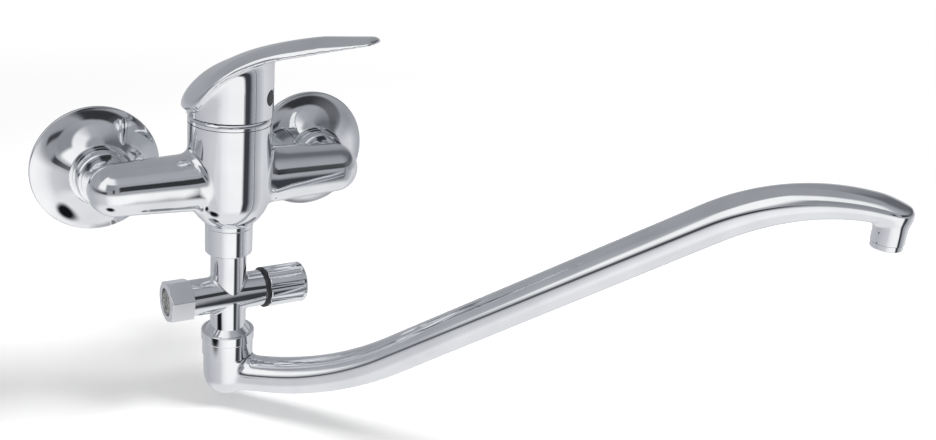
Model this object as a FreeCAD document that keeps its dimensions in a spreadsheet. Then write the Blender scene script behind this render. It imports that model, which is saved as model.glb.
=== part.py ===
import FreeCAD, Part
import math
import os

import Sketcher

Vector = FreeCAD.Vector

# Wall-mounted mixer tap with a swivelling bent spout, a lever on top and a shower diverter below.
# Frame: +Z up, +Y into the wall, wall face at y = 0, origin midway between the two inlets.


# Sizes in millimetres and degrees

SIZES = (
    ("inlet_spacing", 150.0, "between the two wall inlets"),
    ("union_offset", 8.0, "how far the wall ends sit below the arms"),
    ("play", 0.05, "radial clearance of threads and running fits"),
    ("gap", 0.1, "face to face clearance"),
    ("split", 0.3, "visible joint line between two chromed pieces"),
    ("wall_thread_radius", 10.48, "half inch pipe thread on the wall end"),
    ("wall_thread_length", 14.0, "thread that goes into the wall"),
    ("wall_bore_radius", 6.5, "bore of the wall end"),
    ("union_shoulder_radius", 12.0, "round shoulder on the wall face"),
    ("union_shoulder_depth", 3.0, "shoulder length"),
    ("union_bend_depth", 9.0, "wall face to the end of the offset neck"),
    ("union_thread_radius", 13.2, "three quarter inch thread for the union nut"),
    ("union_depth", 20.0, "wall face to the union's front face"),
    ("union_bore_radius", 8.0, "bore of the front end"),
    ("rosette_radius", 42.0, "outer rim of the wall rosette"),
    ("rosette_band", 2.5, "height of the rim band"),
    ("rosette_neck_radius", 20.5, "small end of the rosette"),
    ("rosette_depth", 16.0, "wall face to the rosette's small end"),
    ("rosette_sweep", 34.0, "radius of the hollow curve of the bell"),
    ("sheet_wall", 1.2, "thickness of the pressed rosette"),
    ("nut_radius", 18.5, "union nut"),
    ("nut_lip", 2.9, "inward lip of the union nut"),
    ("nut_chamfer", 1.0, "edge break on the nuts"),
    ("gasket_thick", 2.0, "flat gaskets"),
    ("nipple_flange", 2.0, "flange thickness of the inlet nipple"),
    ("nipple_radius", 11.1, "nipple thread in the body leg"),
    ("nipple_bore_radius", 7.5, "water way of the nipple"),
    ("nipple_depth", 11.0, "thread length in the leg"),
    ("body_radius", 27.0, "upright body"),
    ("body_top", 39.3, "top of the body above the arms"),
    ("body_waist", 8.0, "where the body starts to narrow, below the arms"),
    ("body_foot_radius", 16.0, "ring at the bottom of the body"),
    ("body_foot_band", 2.5, "height of the ring at the bottom"),
    ("body_bottom", 32.5, "bottom face of the body, below the arms"),
    ("arm_root_radius", 19.0, "arm where it leaves the body"),
    ("arm_radius", 16.8, "arm and elbow at the inlet"),
    ("leg_radius", 15.8, "leg towards the wall"),
    ("leg_run", 0.9, "straight leg behind the elbow"),
    ("arm_blend", 6.0, "fillet between arms and body"),
    ("arm_bore_radius", 6.0, "water way in the arms"),
    ("cavity_radius", 21.2, "cartridge chamber"),
    ("cavity_depth", 29.3, "chamber floor below the body's top"),
    ("cavity_thread_step", 1.4, "thread of the cartridge nut outside the chamber"),
    ("cavity_thread_relief", 0.7, "thread below the cartridge housing's top"),
    ("port_radius", 3.2, "hot, cold and mixed ports"),
    ("port_circle", 9.5, "distance of the ports from the axis"),
    ("port_floor", 12.0, "outlet port ends here, below the arms"),
    ("foot_bore_radius", 8.6, "outlet bore of the body and diverter"),
    ("foot_thread_radius", 13.2, "thread for the outlet nut"),
    ("foot_thread_length", 11.4, "length of that thread"),
    ("seal_radius", 5.0, "outer radius of the port seals"),
    ("seal_thick", 1.2, "height of the port seals"),
    ("base_thick", 3.4, "cartridge base"),
    ("disc_radius", 15.0, "fixed ceramic disc"),
    ("disc_thick", 3.4, "fixed ceramic disc"),
    ("slider_radius", 13.2, "moving ceramic disc and its carrier"),
    ("slider_thick", 2.2, "moving ceramic disc"),
    ("slider_pocket", 1.4, "mixing pocket under the moving disc"),
    ("carrier_thick", 3.8, "carrier over the moving disc"),
    ("shell_inner_radius", 17.3, "inside of the cartridge housing"),
    ("shell_height", 22.0, "top of the cartridge housing above the chamber floor"),
    ("shell_roof", 3.0, "thickness of the housing roof"),
    ("turner_radius", 11.3, "neck of the cartridge turner"),
    ("turner_rise", 6.0, "turner above the housing"),
    ("turner_gap", 0.5, "turner above the disc carrier"),
    ("pivot_drop", 1.0, "lever pivot below the top of the housing"),
    ("pin_radius", 1.75, "pivot pin"),
    ("pin_length", 19.0, "pivot pin"),
    ("stem_square", 8.0, "across the stem's flats"),
    ("stem_blade", 6.4, "stem thickness inside the turner"),
    ("stem_shoulder_rise", 2.0, "full square of the stem above the turner"),
    ("stem_reach", 18.6, "top of the stem above the lever's rim"),
    ("stem_neck_radius", 1.9, "neck above the ball end"),
    ("ball_radius", 2.6, "ball end of the stem"),
    ("carrier_floor", 0.5, "carrier below the seat of the ball"),
    ("slot_length", 13.6, "slot of the turner along the lever"),
    ("clamp_hole_radius", 13.6, "hole of the cartridge nut"),
    ("clamp_sink", 0.4, "cartridge nut below the body's top"),
    ("ring_height", 4.9, "trim ring"),
    ("ring_shoulder", 3.2, "rounding of the trim ring"),
    ("ring_hole_radius", 19.0, "hole of the trim ring"),
    ("lever_gap", 0.4, "lever above the trim ring"),
    ("hub_radius", 27.6, "lever hub"),
    ("hub_wall", 2.4, "wall of the hub"),
    ("hub_rim", 1.2, "wall of the hub at its lower rim"),
    ("hub_cavity_height", 17.1, "hollow of the hub above its rim"),
    ("hub_shoulder_height", 10.1, "where the hollow narrows, above the rim"),
    ("hub_cavity_roof_radius", 15.5, "hollow at its top"),
    ("boss_radius", 8.5, "boss that takes the stem"),
    ("boss_rise", 2.1, "lower end of the boss above the rim"),
    ("lever_back", 27.5, "spine of the handle behind the axis"),
    ("lever_skirt", 2.0, "start of the spine below the lever's rim"),
    ("lever_back_angle", 84.0, "degrees, slope of the spine at its start"),
    ("lever_back_arc", 31.0, "radius of the spine up the back"),
    ("lever_middle_angle", 54.0, "degrees, slope at the end of that arc"),
    ("lever_middle_arc", 50.0, "radius over the hub"),
    ("lever_front_angle", 32.0, "degrees, slope at the start of the front arc"),
    ("lever_tip_angle", 4.0, "degrees, slope at the tip"),
    ("lever_reach", 97.0, "tip of the handle in front of the axis"),
    ("lever_width_root", 17.5, "half width at the back"),
    ("lever_width_tip", 9.5, "half width near the tip"),
    ("lever_thick_root", 5.2, "half thickness at the back"),
    ("lever_thick_tip", 2.0, "half thickness near the tip"),
    ("grub_rise", 13.6, "lever screw above the rim"),
    ("grub_radius", 2.5, "lever screw"),
    ("grub_socket_radius", 1.4, "hexagon socket of the lever screw"),
    ("grub_socket_depth", 3.0, "hexagon socket of the lever screw"),
    ("cap_radius", 5.0, "plug over the lever screw"),
    ("cap_depth", 4.0, "recess of that plug"),
    ("rest_angle", 45.0, "degrees, lever and spout to the right of straight out"),
    ("outlet_nut_radius", 15.7, "nut under the body"),
    ("outlet_gasket_thick", 2.4, "gasket under the body"),
    ("outlet_nut_lip", 2.9, "lip of the outlet nut"),
    ("tailpiece_flange", 2.6, "flange on top of the diverter"),
    ("tailpiece_radius", 11.3, "neck under that flange"),
    ("pipe_radius", 12.0, "upright pipe of the diverter"),
    ("cross_drop", 31.0, "cross axis below the outlet nut"),
    ("cross_radius", 12.4, "cross barrel of the diverter"),
    ("cross_left", 27.5, "left end of the barrel"),
    ("cross_right", 23.4, "right end of the barrel"),
    ("cross_blend", 2.5, "fillet between barrel and pipe"),
    ("chamber_radius", 9.0, "bore round the diverter plug"),
    ("chamber_left", 13.0, "left end of that bore"),
    ("outlet_bore_radius", 7.5, "bore to the shower outlet"),
    ("spigot_radius", 9.8, "thread under the hexagon"),
    ("spigot_length", 4.8, "length of that thread"),
    ("hexagon_flats", 26.0, "across the flats of the shower outlet"),
    ("hexagon_length", 15.8, "length of the shower outlet"),
    ("hexagon_angle", 13.5, "degrees, first corner of the hexagon as it was screwed home"),
    ("hose_thread_radius", 9.3, "inner radius of the half inch hose thread"),
    ("hose_thread_depth", 8.2, "depth of that thread"),
    ("valve_flange", 1.3, "flange of the check valve"),
    ("valve_seat_step", 0.4, "seat of that flange outside the hose thread"),
    ("valve_seat_room", 0.3, "room before the flange in its seat"),
    ("valve_length", 14.0, "check valve behind its flange"),
    ("valve_bore_radius", 5.4, "bore of the check valve"),
    ("valve_rib", 1.2, "ribs across the check valve"),
    ("plug_half_length", 9.0, "half length of the diverter plug"),
    ("plug_bore_radius", 5.0, "way through the plug to the spout"),
    ("plug_flat", 6.2, "side flat that leads to the shower outlet"),
    ("spindle_radius", 3.0, "spindle of the diverter"),
    ("spindle_inset", 8.8, "end of the spindle inside the knob's face"),
    ("headwork_radius", 10.0, "screwed bush round the spindle"),
    ("headwork_nose_radius", 7.0, "nose of the bush"),
    ("headwork_nose", 3.4, "length of the nose"),
    ("stop_ring_radius", 14.0, "black ring behind the knob"),
    ("stop_ring_thick", 2.6, "black ring behind the knob"),
    ("knob_radius", 14.0, "diverter knob"),
    ("knob_length", 27.4, "diverter knob"),
    ("knob_flute_radius", 5.0, "radius of each flute"),
    ("knob_flute_depth", 0.8, "depth of each flute"),
    ("knob_chamfer", 1.2, "edge break of the knob"),
    ("knob_cap_radius", 7.0, "disc that closes the knob"),
    ("knob_cap_thick", 2.8, "disc that closes the knob"),
    ("knob_screw_radius", 1.9, "screw in the spindle"),
    ("knob_screw_grip", 8.0, "length of the screw in the spindle"),
    ("knob_screw_hole", 10.0, "depth of the screw hole in the spindle"),
    ("knob_screw_seat", 1.0, "web of the knob under the screw head"),
    ("knob_screw_head_height", 2.4, "height of the screw head"),
    ("knob_cap_crown", 0.4, "rise of the disc at its middle"),
    ("knob_screw_head", 3.6, "radius of its head"),
    ("collar_drop", 26.8, "top of the spout nut below the cross axis"),
    ("collar_band_step", 0.7, "upper band of the spout nut outside its lower part"),
    ("collar_band", 6.7, "height of that band"),
    ("collar_wall", 1.6, "wall of the spout nut at its thread"),
    ("collar_lip", 2.8, "lip of the spout nut"),
    ("collar_thread_radius", 15.6, "thread of the spout nut"),
    ("collar_thread_length", 11.2, "thread of the spout nut"),
    ("flare_length", 3.3, "where the pipe widens to the thread"),
    ("spout_tail_radius", 10.2, "bore round the spout's tail"),
    ("spout_tail_length", 17.4, "tail of the spout above its flange"),
    ("spout_bore_radius", 7.6, "bore of the tail"),
    ("spout_flange_inset", 0.7, "flange of the spout inside the nut's thread"),
    ("spout_flange", 2.6, "thickness of that flange"),
    ("spout_neck_radius", 12.9, "neck in the nut's lip"),
    ("slip_ring_thick", 1.0, "plastic ring under the flange"),
    ("o_ring", 1.3, "radial section of the o-rings"),
    ("elbow_radius", 16.6, "round foot of the spout"),
    ("tube_clearance", 0.8, "tube below the spout nut"),
    ("tube_radius", 12.75, "spout tube"),
    ("tube_wall", 1.5, "wall of the spout tube"),
    ("tube_start_angle", 6.5, "degrees, slope of the tube at the foot"),
    ("tube_start", 28.0, "straight run at the foot"),
    ("tube_run_angle", 34.0, "degrees, slope of the long straight run"),
    ("tube_rise_arc", 205.0, "radius of the lower bend"),
    ("tube_run", 230.0, "length of the long straight run"),
    ("tube_tip_arc", 157.0, "radius of the upper bend"),
    ("tube_tip_angle", 1.5, "degrees, fall of the tube at its tip"),
    ("tip_overhang", 9.3, "end of the upper bend to the outlet's axis"),
    ("tip_height", 9.8, "half height of the flattened tip"),
    ("tip_nose", 10.2, "rounded nose beyond the outlet"),
    ("nozzle_radius", 10.0, "downward outlet of the spout"),
    ("nozzle_length", 20.0, "outlet below the tube's axis"),
    ("aerator_thread_radius", 8.1, "aerator thread"),
    ("aerator_thread_length", 7.0, "aerator thread"),
    ("aerator_rim_radius", 9.4, "visible rim of the aerator"),
    ("aerator_rim", 3.5, "height of that rim"),
    ("aerator_wall", 1.4, "wall of the aerator"),
    ("jet_radius", 0.9, "holes of the aerator insert"),
)

doc = FreeCAD.newDocument("MixerTap")
sheet = doc.addObject("Spreadsheet::Sheet", "Sizes")


class Size:
    """A number together with the sheet expression that gives it."""

    def __init__(self, text, value):
        self.text = text
        self.value = value

    def __add__(self, other):
        other = as_size(other)
        return Size("(%s + %s)" % (self.text, other.text), self.value + other.value)

    def __sub__(self, other):
        other = as_size(other)
        return Size("(%s - %s)" % (self.text, other.text), self.value - other.value)

    def __mul__(self, other):
        other = as_size(other)
        return Size("(%s * %s)" % (self.text, other.text), self.value * other.value)

    def __truediv__(self, other):
        other = as_size(other)
        return Size("(%s / %s)" % (self.text, other.text), self.value / other.value)

    def __radd__(self, other):
        return as_size(other) + self

    def __rsub__(self, other):
        return as_size(other) - self

    def __rmul__(self, other):
        return as_size(other) * self

    def __neg__(self):
        return Size("(0 - %s)" % self.text, -self.value)


def as_size(value):
    """A plain number as a Size."""
    if isinstance(value, Size):
        return value
    return Size(repr(float(value)), float(value))


def sine(angle):
    return Size("sin(%s)" % angle.text, math.sin(math.radians(angle.value)))


def cosine(angle):
    return Size("cos(%s)" % angle.text, math.cos(math.radians(angle.value)))


class Sheet:
    """The driving sizes by name, written into the spreadsheet."""

    def __init__(self, rows):
        for number, (name, value, note) in enumerate(rows, start=1):
            sheet.set("A%d" % number, note)
            sheet.set("B%d" % number, repr(value))
            sheet.setAlias("B%d" % number, name)
            setattr(self, name, Size("Sizes." + name, value))


d = Sheet(SIZES)
doc.recompute()


# Places that follow from the sizes: depths are from the wall, heights above the arms' axis

d.nipple_flange_radius = d.union_thread_radius - d.split
d.nut_front = d.union_depth + d.gasket_thick + d.nipple_flange + d.gap + d.nut_lip
d.axis_depth = d.nut_front + d.split + d.leg_run + d.arm_radius

d.cavity_floor = d.body_top - d.cavity_depth
d.cavity_thread_radius = d.cavity_radius + d.cavity_thread_step
d.base_low = d.cavity_floor + d.seal_thick / 2
d.base_high = d.base_low + d.base_thick
d.disc_high = d.base_high + d.disc_thick
d.slider_low = d.disc_high + d.gap
d.slider_high = d.slider_low + d.slider_thick
d.carrier_high = d.slider_high + d.carrier_thick
d.shell_top = d.cavity_floor + d.shell_height
d.turner_flange_radius = d.shell_inner_radius - d.split
d.turner_bottom = d.carrier_high + d.turner_gap
d.turner_top = d.shell_top + d.turner_rise
d.pivot_height = d.shell_top - d.pivot_drop
d.ball_height = d.slider_high + d.carrier_floor + d.gap + d.ball_radius
d.stem_shoulder = d.turner_top + d.stem_shoulder_rise
d.ring_top = d.body_top + d.split + d.ring_height

d.lever_bottom = d.ring_top + d.lever_gap
d.stem_top = d.lever_bottom + d.stem_reach
d.hub_cavity_radius = d.hub_radius - d.hub_wall
d.hub_cavity_top = d.lever_bottom + d.hub_cavity_height
d.hub_cavity_shoulder = d.lever_bottom + d.hub_shoulder_height
d.boss_bottom = d.lever_bottom + d.boss_rise
d.grub_height = d.lever_bottom + d.grub_rise

# these are below the arms' axis, down the upright axis

d.body_foot_top = d.body_bottom - d.body_foot_band
d.foot_end = d.body_bottom + d.foot_thread_length
d.tailpiece_top = d.foot_end + d.gap + d.outlet_gasket_thick
d.tailpiece_low = d.tailpiece_top + d.tailpiece_flange
d.outlet_nut_bottom = d.tailpiece_low + d.gap + d.outlet_nut_lip
d.cross_height = d.outlet_nut_bottom + d.cross_drop
d.collar_top = d.cross_height + d.collar_drop
d.pipe_flare = d.collar_top - d.flare_length
d.collar_thread_bottom = d.collar_top + d.collar_thread_length
d.collar_lower_radius = d.collar_thread_radius + d.collar_wall
d.collar_radius = d.collar_lower_radius + d.collar_band_step
d.spout_flange_top = d.collar_thread_bottom + d.split + d.gap
d.spout_flange_low = d.spout_flange_top + d.spout_flange
d.spout_flange_radius = d.collar_thread_radius - d.spout_flange_inset
d.slip_ring_low = d.spout_flange_low + d.gap + d.slip_ring_thick
d.collar_bottom = d.slip_ring_low + d.gap + d.collar_lip
d.spout_tail_top = d.spout_flange_top - d.spout_tail_length
d.tube_drop = d.tube_radius / cosine(d.tube_start_angle) + d.tube_clearance
d.collar_slant = d.collar_lower_radius * sine(d.tube_start_angle) / cosine(d.tube_start_angle)
d.elbow_height = d.collar_bottom + d.tube_drop + d.collar_slant

# these are to the right of the upright axis, along the cross axis

d.stop_ring_start = d.cross_right + d.gap
d.stop_ring_end = d.stop_ring_start + d.stop_ring_thick
d.knob_start = d.stop_ring_end + d.split
d.knob_end = d.knob_start + d.knob_length
d.spindle_end = d.knob_end - d.spindle_inset


# Binding sizes to objects


def bind(target, field, size):
    """Ties one numeric field of an object to the sheet."""
    size = as_size(size)
    target.setExpression(field, size.text)


def place(piece, x=0.0, y=0.0, z=0.0, axis=None, angle=0.0):
    """Turns a piece about an axis through its origin, then moves it."""
    spot = [as_size(x), as_size(y), as_size(z)]
    turn = FreeCAD.Rotation(axis or Vector(0, 0, 1), as_size(angle).value)
    piece.Placement = FreeCAD.Placement(Vector(*[part.value for part in spot]), turn)
    for letter, part in zip("xyz", spot):
        bind(piece, "Placement.Base." + letter, part)
    if isinstance(angle, Size):
        bind(piece, "Placement.Rotation.Angle", angle)
    return piece


def upright(piece, z=0.0):
    """Stands a piece on the body's upright axis."""
    return place(piece, 0.0, -d.axis_depth, z)


def headed(piece):
    """Turns a piece on the upright axis to the rest heading of lever and spout."""
    return place(piece, 0.0, -d.axis_depth, 0.0, Vector(0, 0, 1), -d.rest_angle)


def outward(piece, side, z=0.0):
    """Lays a piece along an inlet axis, its own z pointing away from the wall."""
    return place(piece, side * d.inlet_spacing / 2, 0.0, z, Vector(1, 0, 0), 90)


def crosswise(piece):
    """Lays a piece along the diverter's cross axis, its own z pointing right."""
    return place(piece, 0.0, -d.axis_depth, -d.cross_height, Vector(0, 1, 0), 90)


# Sketches


def new_body(label):
    body = doc.addObject("PartDesign::Body", label)
    body.Label = label
    return body


def new_sketch(body, role, lift=0.0):
    """An empty sketch on one of the body's own planes, lifted along its normal."""
    sketch = body.newObject("Sketcher::SketchObject", body.Label + "_sketch")
    plane = [item for item in body.Origin.OriginFeatures if item.Role == role][0]
    sketch.AttachmentSupport = [(plane, "")]
    sketch.MapMode = "FlatFace"
    lift = as_size(lift)
    sketch.AttachmentOffset = FreeCAD.Placement(Vector(0, 0, lift.value), FreeCAD.Rotation())
    bind(sketch, "AttachmentOffset.Base.z", lift)
    return sketch


def pin_point(sketch, geometry, end, x, y):
    """Fixes a point of a sketch at x and y from its origin."""
    for kind, axis, value in (("DistanceX", -2, x), ("DistanceY", -1, y)):
        value = as_size(value)
        if value.value == 0:
            sketch.addConstraint(Sketcher.Constraint("PointOnObject", geometry, end, axis))
            continue
        spot = sketch.addConstraint(
            Sketcher.Constraint(kind, -1, 1, geometry, end, value.value)
        )
        bind(sketch, "Constraints[%d]" % spot, value)


def arc_between(start, finish, radius):
    """The short arc from start to finish, to the left of travel if radius is positive."""
    chord = finish - start
    half = chord.Length / 2
    side = Vector(-chord.y, chord.x, 0).normalize()
    rise = math.sqrt(max(radius * radius - half * half, 0.0))
    centre = (start + finish) * 0.5 + side * math.copysign(rise, radius)
    first, last = (start, finish) if radius > 0 else (finish, start)
    angles = [math.atan2(spot.y - centre.y, spot.x - centre.x) for spot in (first, last)]
    if angles[1] < angles[0]:
        angles[1] += 2 * math.pi
    return Part.ArcOfCircle(Part.Circle(centre, Vector(0, 0, 1), abs(radius)), *angles)


def draw(sketch, corners, closed=True):
    """Draws an outline: each corner is (x, y) or (x, y, radius of the arc to the next)."""
    spots = [Vector(as_size(c[0]).value, as_size(c[1]).value, 0) for c in corners]
    count = len(corners) if closed else len(corners) - 1
    ends = []
    for index in range(count):
        start = spots[index]
        finish = spots[(index + 1) % len(spots)]
        if len(corners[index]) == 2:
            edge = sketch.addGeometry(Part.LineSegment(start, finish), False)
            ends.append((edge, 1, 2))
            continue
        radius = as_size(corners[index][2])
        edge = sketch.addGeometry(arc_between(start, finish, radius.value), False)
        ends.append((edge, 1, 2) if radius.value > 0 else (edge, 2, 1))
        size = radius if radius.value > 0 else -radius
        mark = sketch.addConstraint(Sketcher.Constraint("Radius", edge, size.value))
        bind(sketch, "Constraints[%d]" % mark, size)
    for index, (edge, start, finish) in enumerate(ends):
        pin_point(sketch, edge, start, *corners[index][:2])
        following = ends[(index + 1) % len(ends)]
        if closed or index < count - 1:
            sketch.addConstraint(
                Sketcher.Constraint("Coincident", edge, finish, following[0], following[1])
            )
        else:
            pin_point(sketch, edge, finish, *corners[-1][:2])
    return sketch


def draw_circle(sketch, x, y, radius):
    radius = as_size(radius)
    spot = Vector(as_size(x).value, as_size(y).value, 0)
    edge = sketch.addGeometry(Part.Circle(spot, Vector(0, 0, 1), radius.value), False)
    pin_point(sketch, edge, 3, x, y)
    mark = sketch.addConstraint(Sketcher.Constraint("Radius", edge, radius.value))
    bind(sketch, "Constraints[%d]" % mark, radius)
    return sketch


def box_corners(x0, x1, y0, y1):
    return [(x0, y0), (x1, y0), (x1, y1), (x0, y1)]


# Features


def turn(body, *outlines, cut=False, axis="V_Axis"):
    """Turns outlines on the body's XZ plane about its own z (or x) axis."""
    sketch = new_sketch(body, "XZ_Plane")
    for corners in outlines:
        draw(sketch, corners)
    kind = "PartDesign::Groove" if cut else "PartDesign::Revolution"
    feature = body.newObject(kind, body.Label + "_turned")
    feature.Profile = sketch
    feature.ReferenceAxis = (sketch, [axis])
    feature.Angle = 360
    return feature


def extrude(body, sketch, length, cut=False, reverse=False, both=False):
    """Pads or pockets a sketch by a length, to one side or to both."""
    kind = "PartDesign::Pocket" if cut else "PartDesign::Pad"
    feature = body.newObject(kind, body.Label + "_run")
    feature.Profile = sketch
    feature.Reversed = reverse
    feature.Midplane = both
    bind(feature, "Length", length)
    return feature


def turned_part(label, *outlines):
    """A body that is one turned shape."""
    body = new_body(label)
    turn(body, *outlines)
    return body


def ring_part(label, inner, outer, low, high):
    """A plain ring or washer."""
    return turned_part(label, box_corners(inner, outer, low, high))


def primitive(kind, label, **fields):
    """A primitive solid with its fields tied to the sheet."""
    piece = doc.addObject("Part::" + kind, label)
    for name, size in fields.items():
        bind(piece, name, size)
    return piece


def combined(kind, label, base, tool):
    piece = doc.addObject("Part::" + kind, label)
    piece.Base = base
    piece.Tool = tool
    return piece


def joined(label, pieces):
    piece = doc.addObject("Part::MultiFuse", label)
    piece.Shapes = pieces
    return piece


def chosen_edges(feature, test):
    """The names of a feature's edges whose sample points all pass a test."""
    names = []
    for number, edge in enumerate(feature.Shape.Edges, start=1):
        first, last = edge.ParameterRange
        spots = [edge.valueAt(first + (last - first) * part / 6) for part in range(7)]
        if all(test(spot) for spot in spots):
            names.append("Edge%d" % number)
    return names


def fillet(body, feature, test, radius):
    """Rounds the edges of a feature that pass a test."""
    doc.recompute()
    names = chosen_edges(feature, test)
    blend = body.newObject("PartDesign::Fillet", body.Label + "_blend")
    blend.Base = (feature, names)
    bind(blend, "Radius", radius)
    return blend


# Shares of each arc at which the handle gets a section, and how it tapers and rounds off

HANDLE_SHARES = ((0.0, 0.5), (0.0, 0.5), (0.0, 0.2, 0.4, 0.6, 0.78, 0.9, 0.95, 0.985, 1.0))
HANDLE_FADE = 1.3
HANDLE_ROUND = 0.93
HANDLE_NOSE = 0.86

# Sections of the spout's upper bend, and of its nose as (share of its length, scale)

TIP_STEPS = 6

# mm that a cutting shape reaches past the face it opens

PAST = 1.0

# flutes round the diverter knob

KNOB_FLUTES = 10
TIP_NOSE = ((0.5, 0.97), (0.8, 0.85), (0.95, 0.6), (1.0, 0.36))


nodes = []


def keep(piece):
    """Marks a piece as one to be written out."""
    nodes.append(piece)
    return piece


# Wall unions, rosettes and nuts


def make_union(side, label):
    """An offset union: wall thread, leaning neck, then the thread for the nut."""
    body = new_body(label)
    low = -d.union_offset
    turn_low = new_sketch(body, "XY_Plane", -d.wall_thread_length)
    draw_circle(turn_low, 0, low, d.wall_thread_radius)
    extrude(body, turn_low, d.wall_thread_length)
    shoulder = new_sketch(body, "XY_Plane", 0)
    draw_circle(shoulder, 0, low, d.union_shoulder_radius)
    extrude(body, shoulder, d.union_shoulder_depth)
    lean(body, "AdditiveLoft", d.union_shoulder_radius, d.union_thread_radius)
    front = new_sketch(body, "XY_Plane", d.union_bend_depth)
    draw_circle(front, 0, 0, d.union_thread_radius)
    extrude(body, front, d.union_depth - d.union_bend_depth)
    bore_low = new_sketch(body, "XY_Plane", -d.wall_thread_length)
    draw_circle(bore_low, 0, low, d.wall_bore_radius)
    extrude(body, bore_low, d.wall_thread_length + d.union_shoulder_depth, True, True)
    lean(body, "SubtractiveLoft", d.wall_bore_radius, d.union_bore_radius)
    bore_front = new_sketch(body, "XY_Plane", d.union_bend_depth)
    draw_circle(bore_front, 0, 0, d.union_bore_radius)
    extrude(body, bore_front, d.union_depth - d.union_bend_depth, True, True)
    return keep(outward(body, side))


def lean(body, kind, low_radius, high_radius):
    """The leaning neck, or its bore, between the shoulder and the front thread."""
    start = new_sketch(body, "XY_Plane", d.union_shoulder_depth)
    draw_circle(start, 0, -d.union_offset, low_radius)
    finish = new_sketch(body, "XY_Plane", d.union_bend_depth)
    draw_circle(finish, 0, 0, high_radius)
    neck = body.newObject("PartDesign::" + kind, body.Label + "_neck")
    neck.Profile = start
    neck.Sections = [finish]
    return neck


def make_rosette(side, label):
    """A pressed bell that covers the union, its curve hollow towards the room."""
    hole = d.union_thread_radius + d.split
    wall = d.sheet_wall
    rim = d.rosette_radius
    neck = d.rosette_neck_radius
    outline = [
        (rim - wall, 0),
        (rim, 0),
        (rim, d.rosette_band, -d.rosette_sweep),
        (neck, d.rosette_depth),
        (hole, d.rosette_depth),
        (hole, d.rosette_depth - wall),
        (neck - wall, d.rosette_depth - wall, d.rosette_sweep),
        (rim - wall, d.rosette_band - wall),
    ]
    return keep(outward(turned_part(label, outline), side))


def make_union_nut(side, label):
    """A round nut whose lip holds the nipple's flange."""
    back = d.rosette_depth + d.split
    thread = d.union_thread_radius + d.play
    lip = d.nipple_radius + d.split
    edge = d.nut_chamfer
    outline = [
        (thread, back),
        (d.nut_radius, back),
        (d.nut_radius, d.nut_front - edge),
        (d.nut_radius - edge, d.nut_front),
        (lip, d.nut_front),
        (lip, d.nut_front - d.nut_lip),
        (thread, d.nut_front - d.nut_lip),
    ]
    return keep(outward(turned_part(label, outline), side))


def make_inlet_gasket(side, label):
    inner = d.union_bore_radius + d.gap
    outer = d.nipple_flange_radius
    low = d.union_depth + d.gap
    piece = ring_part(label, inner, outer, low, d.union_depth + d.gasket_thick)
    return keep(outward(piece, side))


def make_nipple(side, label):
    """The flanged bush in the leg of the body that the union nut pulls on."""
    face = d.union_depth + d.gasket_thick
    back = d.nut_front - d.nut_lip - d.gap
    deep = d.nut_front + d.split + d.nipple_depth
    bore = d.nipple_bore_radius
    outline = [
        (bore, face),
        (d.nipple_flange_radius, face),
        (d.nipple_flange_radius, back),
        (d.nipple_radius, back),
        (d.nipple_radius, deep),
        (bore, deep),
    ]
    return keep(outward(turned_part(label, outline), side))


# Mixer body


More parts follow.
